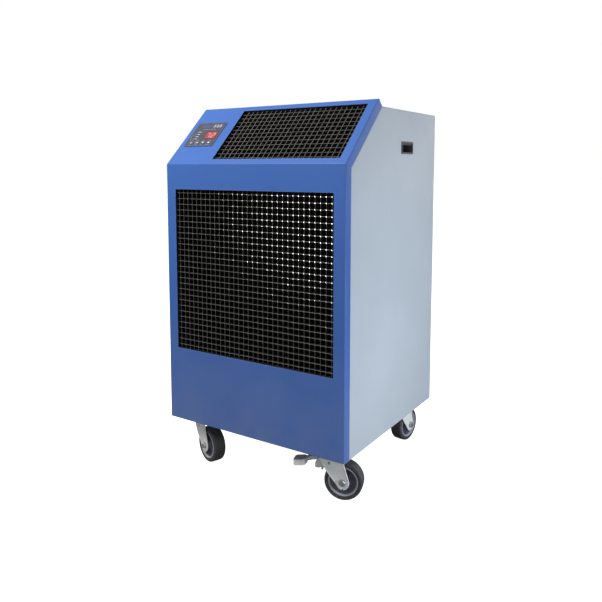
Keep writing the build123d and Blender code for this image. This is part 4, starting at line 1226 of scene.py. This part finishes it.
class AC_OT_carried(bpy.types.Operator):
    """Give every carried-over node the finish of its slot"""

    bl_idname = "air_conditioner.carried_nodes"
    bl_label = "Carried-over nodes"

    def execute(self, context):
        for node in NODES.values():
            for slot in node.material_slots:
                slot.material = FINISHES[slot.material.name.split(".")[0]]
        return {"FINISHED"}


class AC_OT_grilles(bpy.types.Operator):
    """Build the return and the supply grille"""

    bl_idname = "air_conditioner.grilles"
    bl_label = "Grilles"

    def execute(self, context):
        egg_crate("return_blades", "return_grille", UPRIGHT, "blade_edge")
        egg_crate("supply_blades", "supply_grille", SLOPE, "rubbed_edge")
        return {"FINISHED"}


class AC_OT_panel(bpy.types.Operator):
    """Build the control panel's printed marks, display and key symbols"""

    bl_idname = "air_conditioner.control_panel"
    bl_label = "Control panel"

    def execute(self, context):
        panel_marks()
        display_digits()
        key_marks()
        return {"FINISHED"}


class AC_OT_handles(bpy.types.Operator):
    """Build the two pocket handles"""

    bl_idname = "air_conditioner.handles"
    bl_label = "Pocket handles"

    def execute(self, context):
        recessed_handle("right_handle", RIGHT_SIDE)
        recessed_handle("left_handle", LEFT_SIDE)
        return {"FINISHED"}


class AC_OT_casters(bpy.types.Operator):
    """Build the four casters"""

    bl_idname = "air_conditioner.casters"
    bl_label = "Casters"

    def execute(self, context):
        for corner in CORNERS:
            caster = Caster(corner)
            swivel_head(caster)
            fork(caster)
            swivel_rivets(caster)
            tyre(caster)
            hub(caster)
            axle_bolt(caster)
            if caster.braked:
                brake_lever(caster)
        return {"FINISHED"}


OPERATORS = (AC_OT_finishes, AC_OT_stage, AC_OT_carried, AC_OT_grilles, AC_OT_panel, AC_OT_handles,
             AC_OT_casters)


class AC_PT_panel(bpy.types.Panel):
    """Lists the settings and the steps that build the unit"""

    bl_idname = "AC_PT_panel"
    bl_label = "Air Conditioner"
    bl_space_type = "VIEW_3D"
    bl_region_type = "UI"
    bl_category = "Air Conditioner"

    def draw(self, context):
        for operator in OPERATORS:
            self.layout.operator(operator.bl_idname)
        for group, kind in SETTINGS.items():
            box = self.layout.box()
            box.label(text=kind.__doc__)
            for name in kind.__annotations__:
                box.prop(settings(group), name)


CLASSES = (*SETTINGS.values(), *OPERATORS, AC_PT_panel)


def register():
    for cls in CLASSES:
        bpy.utils.register_class(cls)
    for group, kind in SETTINGS.items():
        setattr(bpy.types.Scene, "air_conditioner_" + group, bpy.props.PointerProperty(type=kind))


def unregister():
    for group in SETTINGS:
        delattr(bpy.types.Scene, "air_conditioner_" + group)
    for cls in reversed(CLASSES):
        bpy.utils.unregister_class(cls)


def main():
    register()
    for operator in OPERATORS:
        module, name = operator.bl_idname.split(".")
        getattr(getattr(bpy.ops, module), name)()


if __name__ == "__main__":
    main()
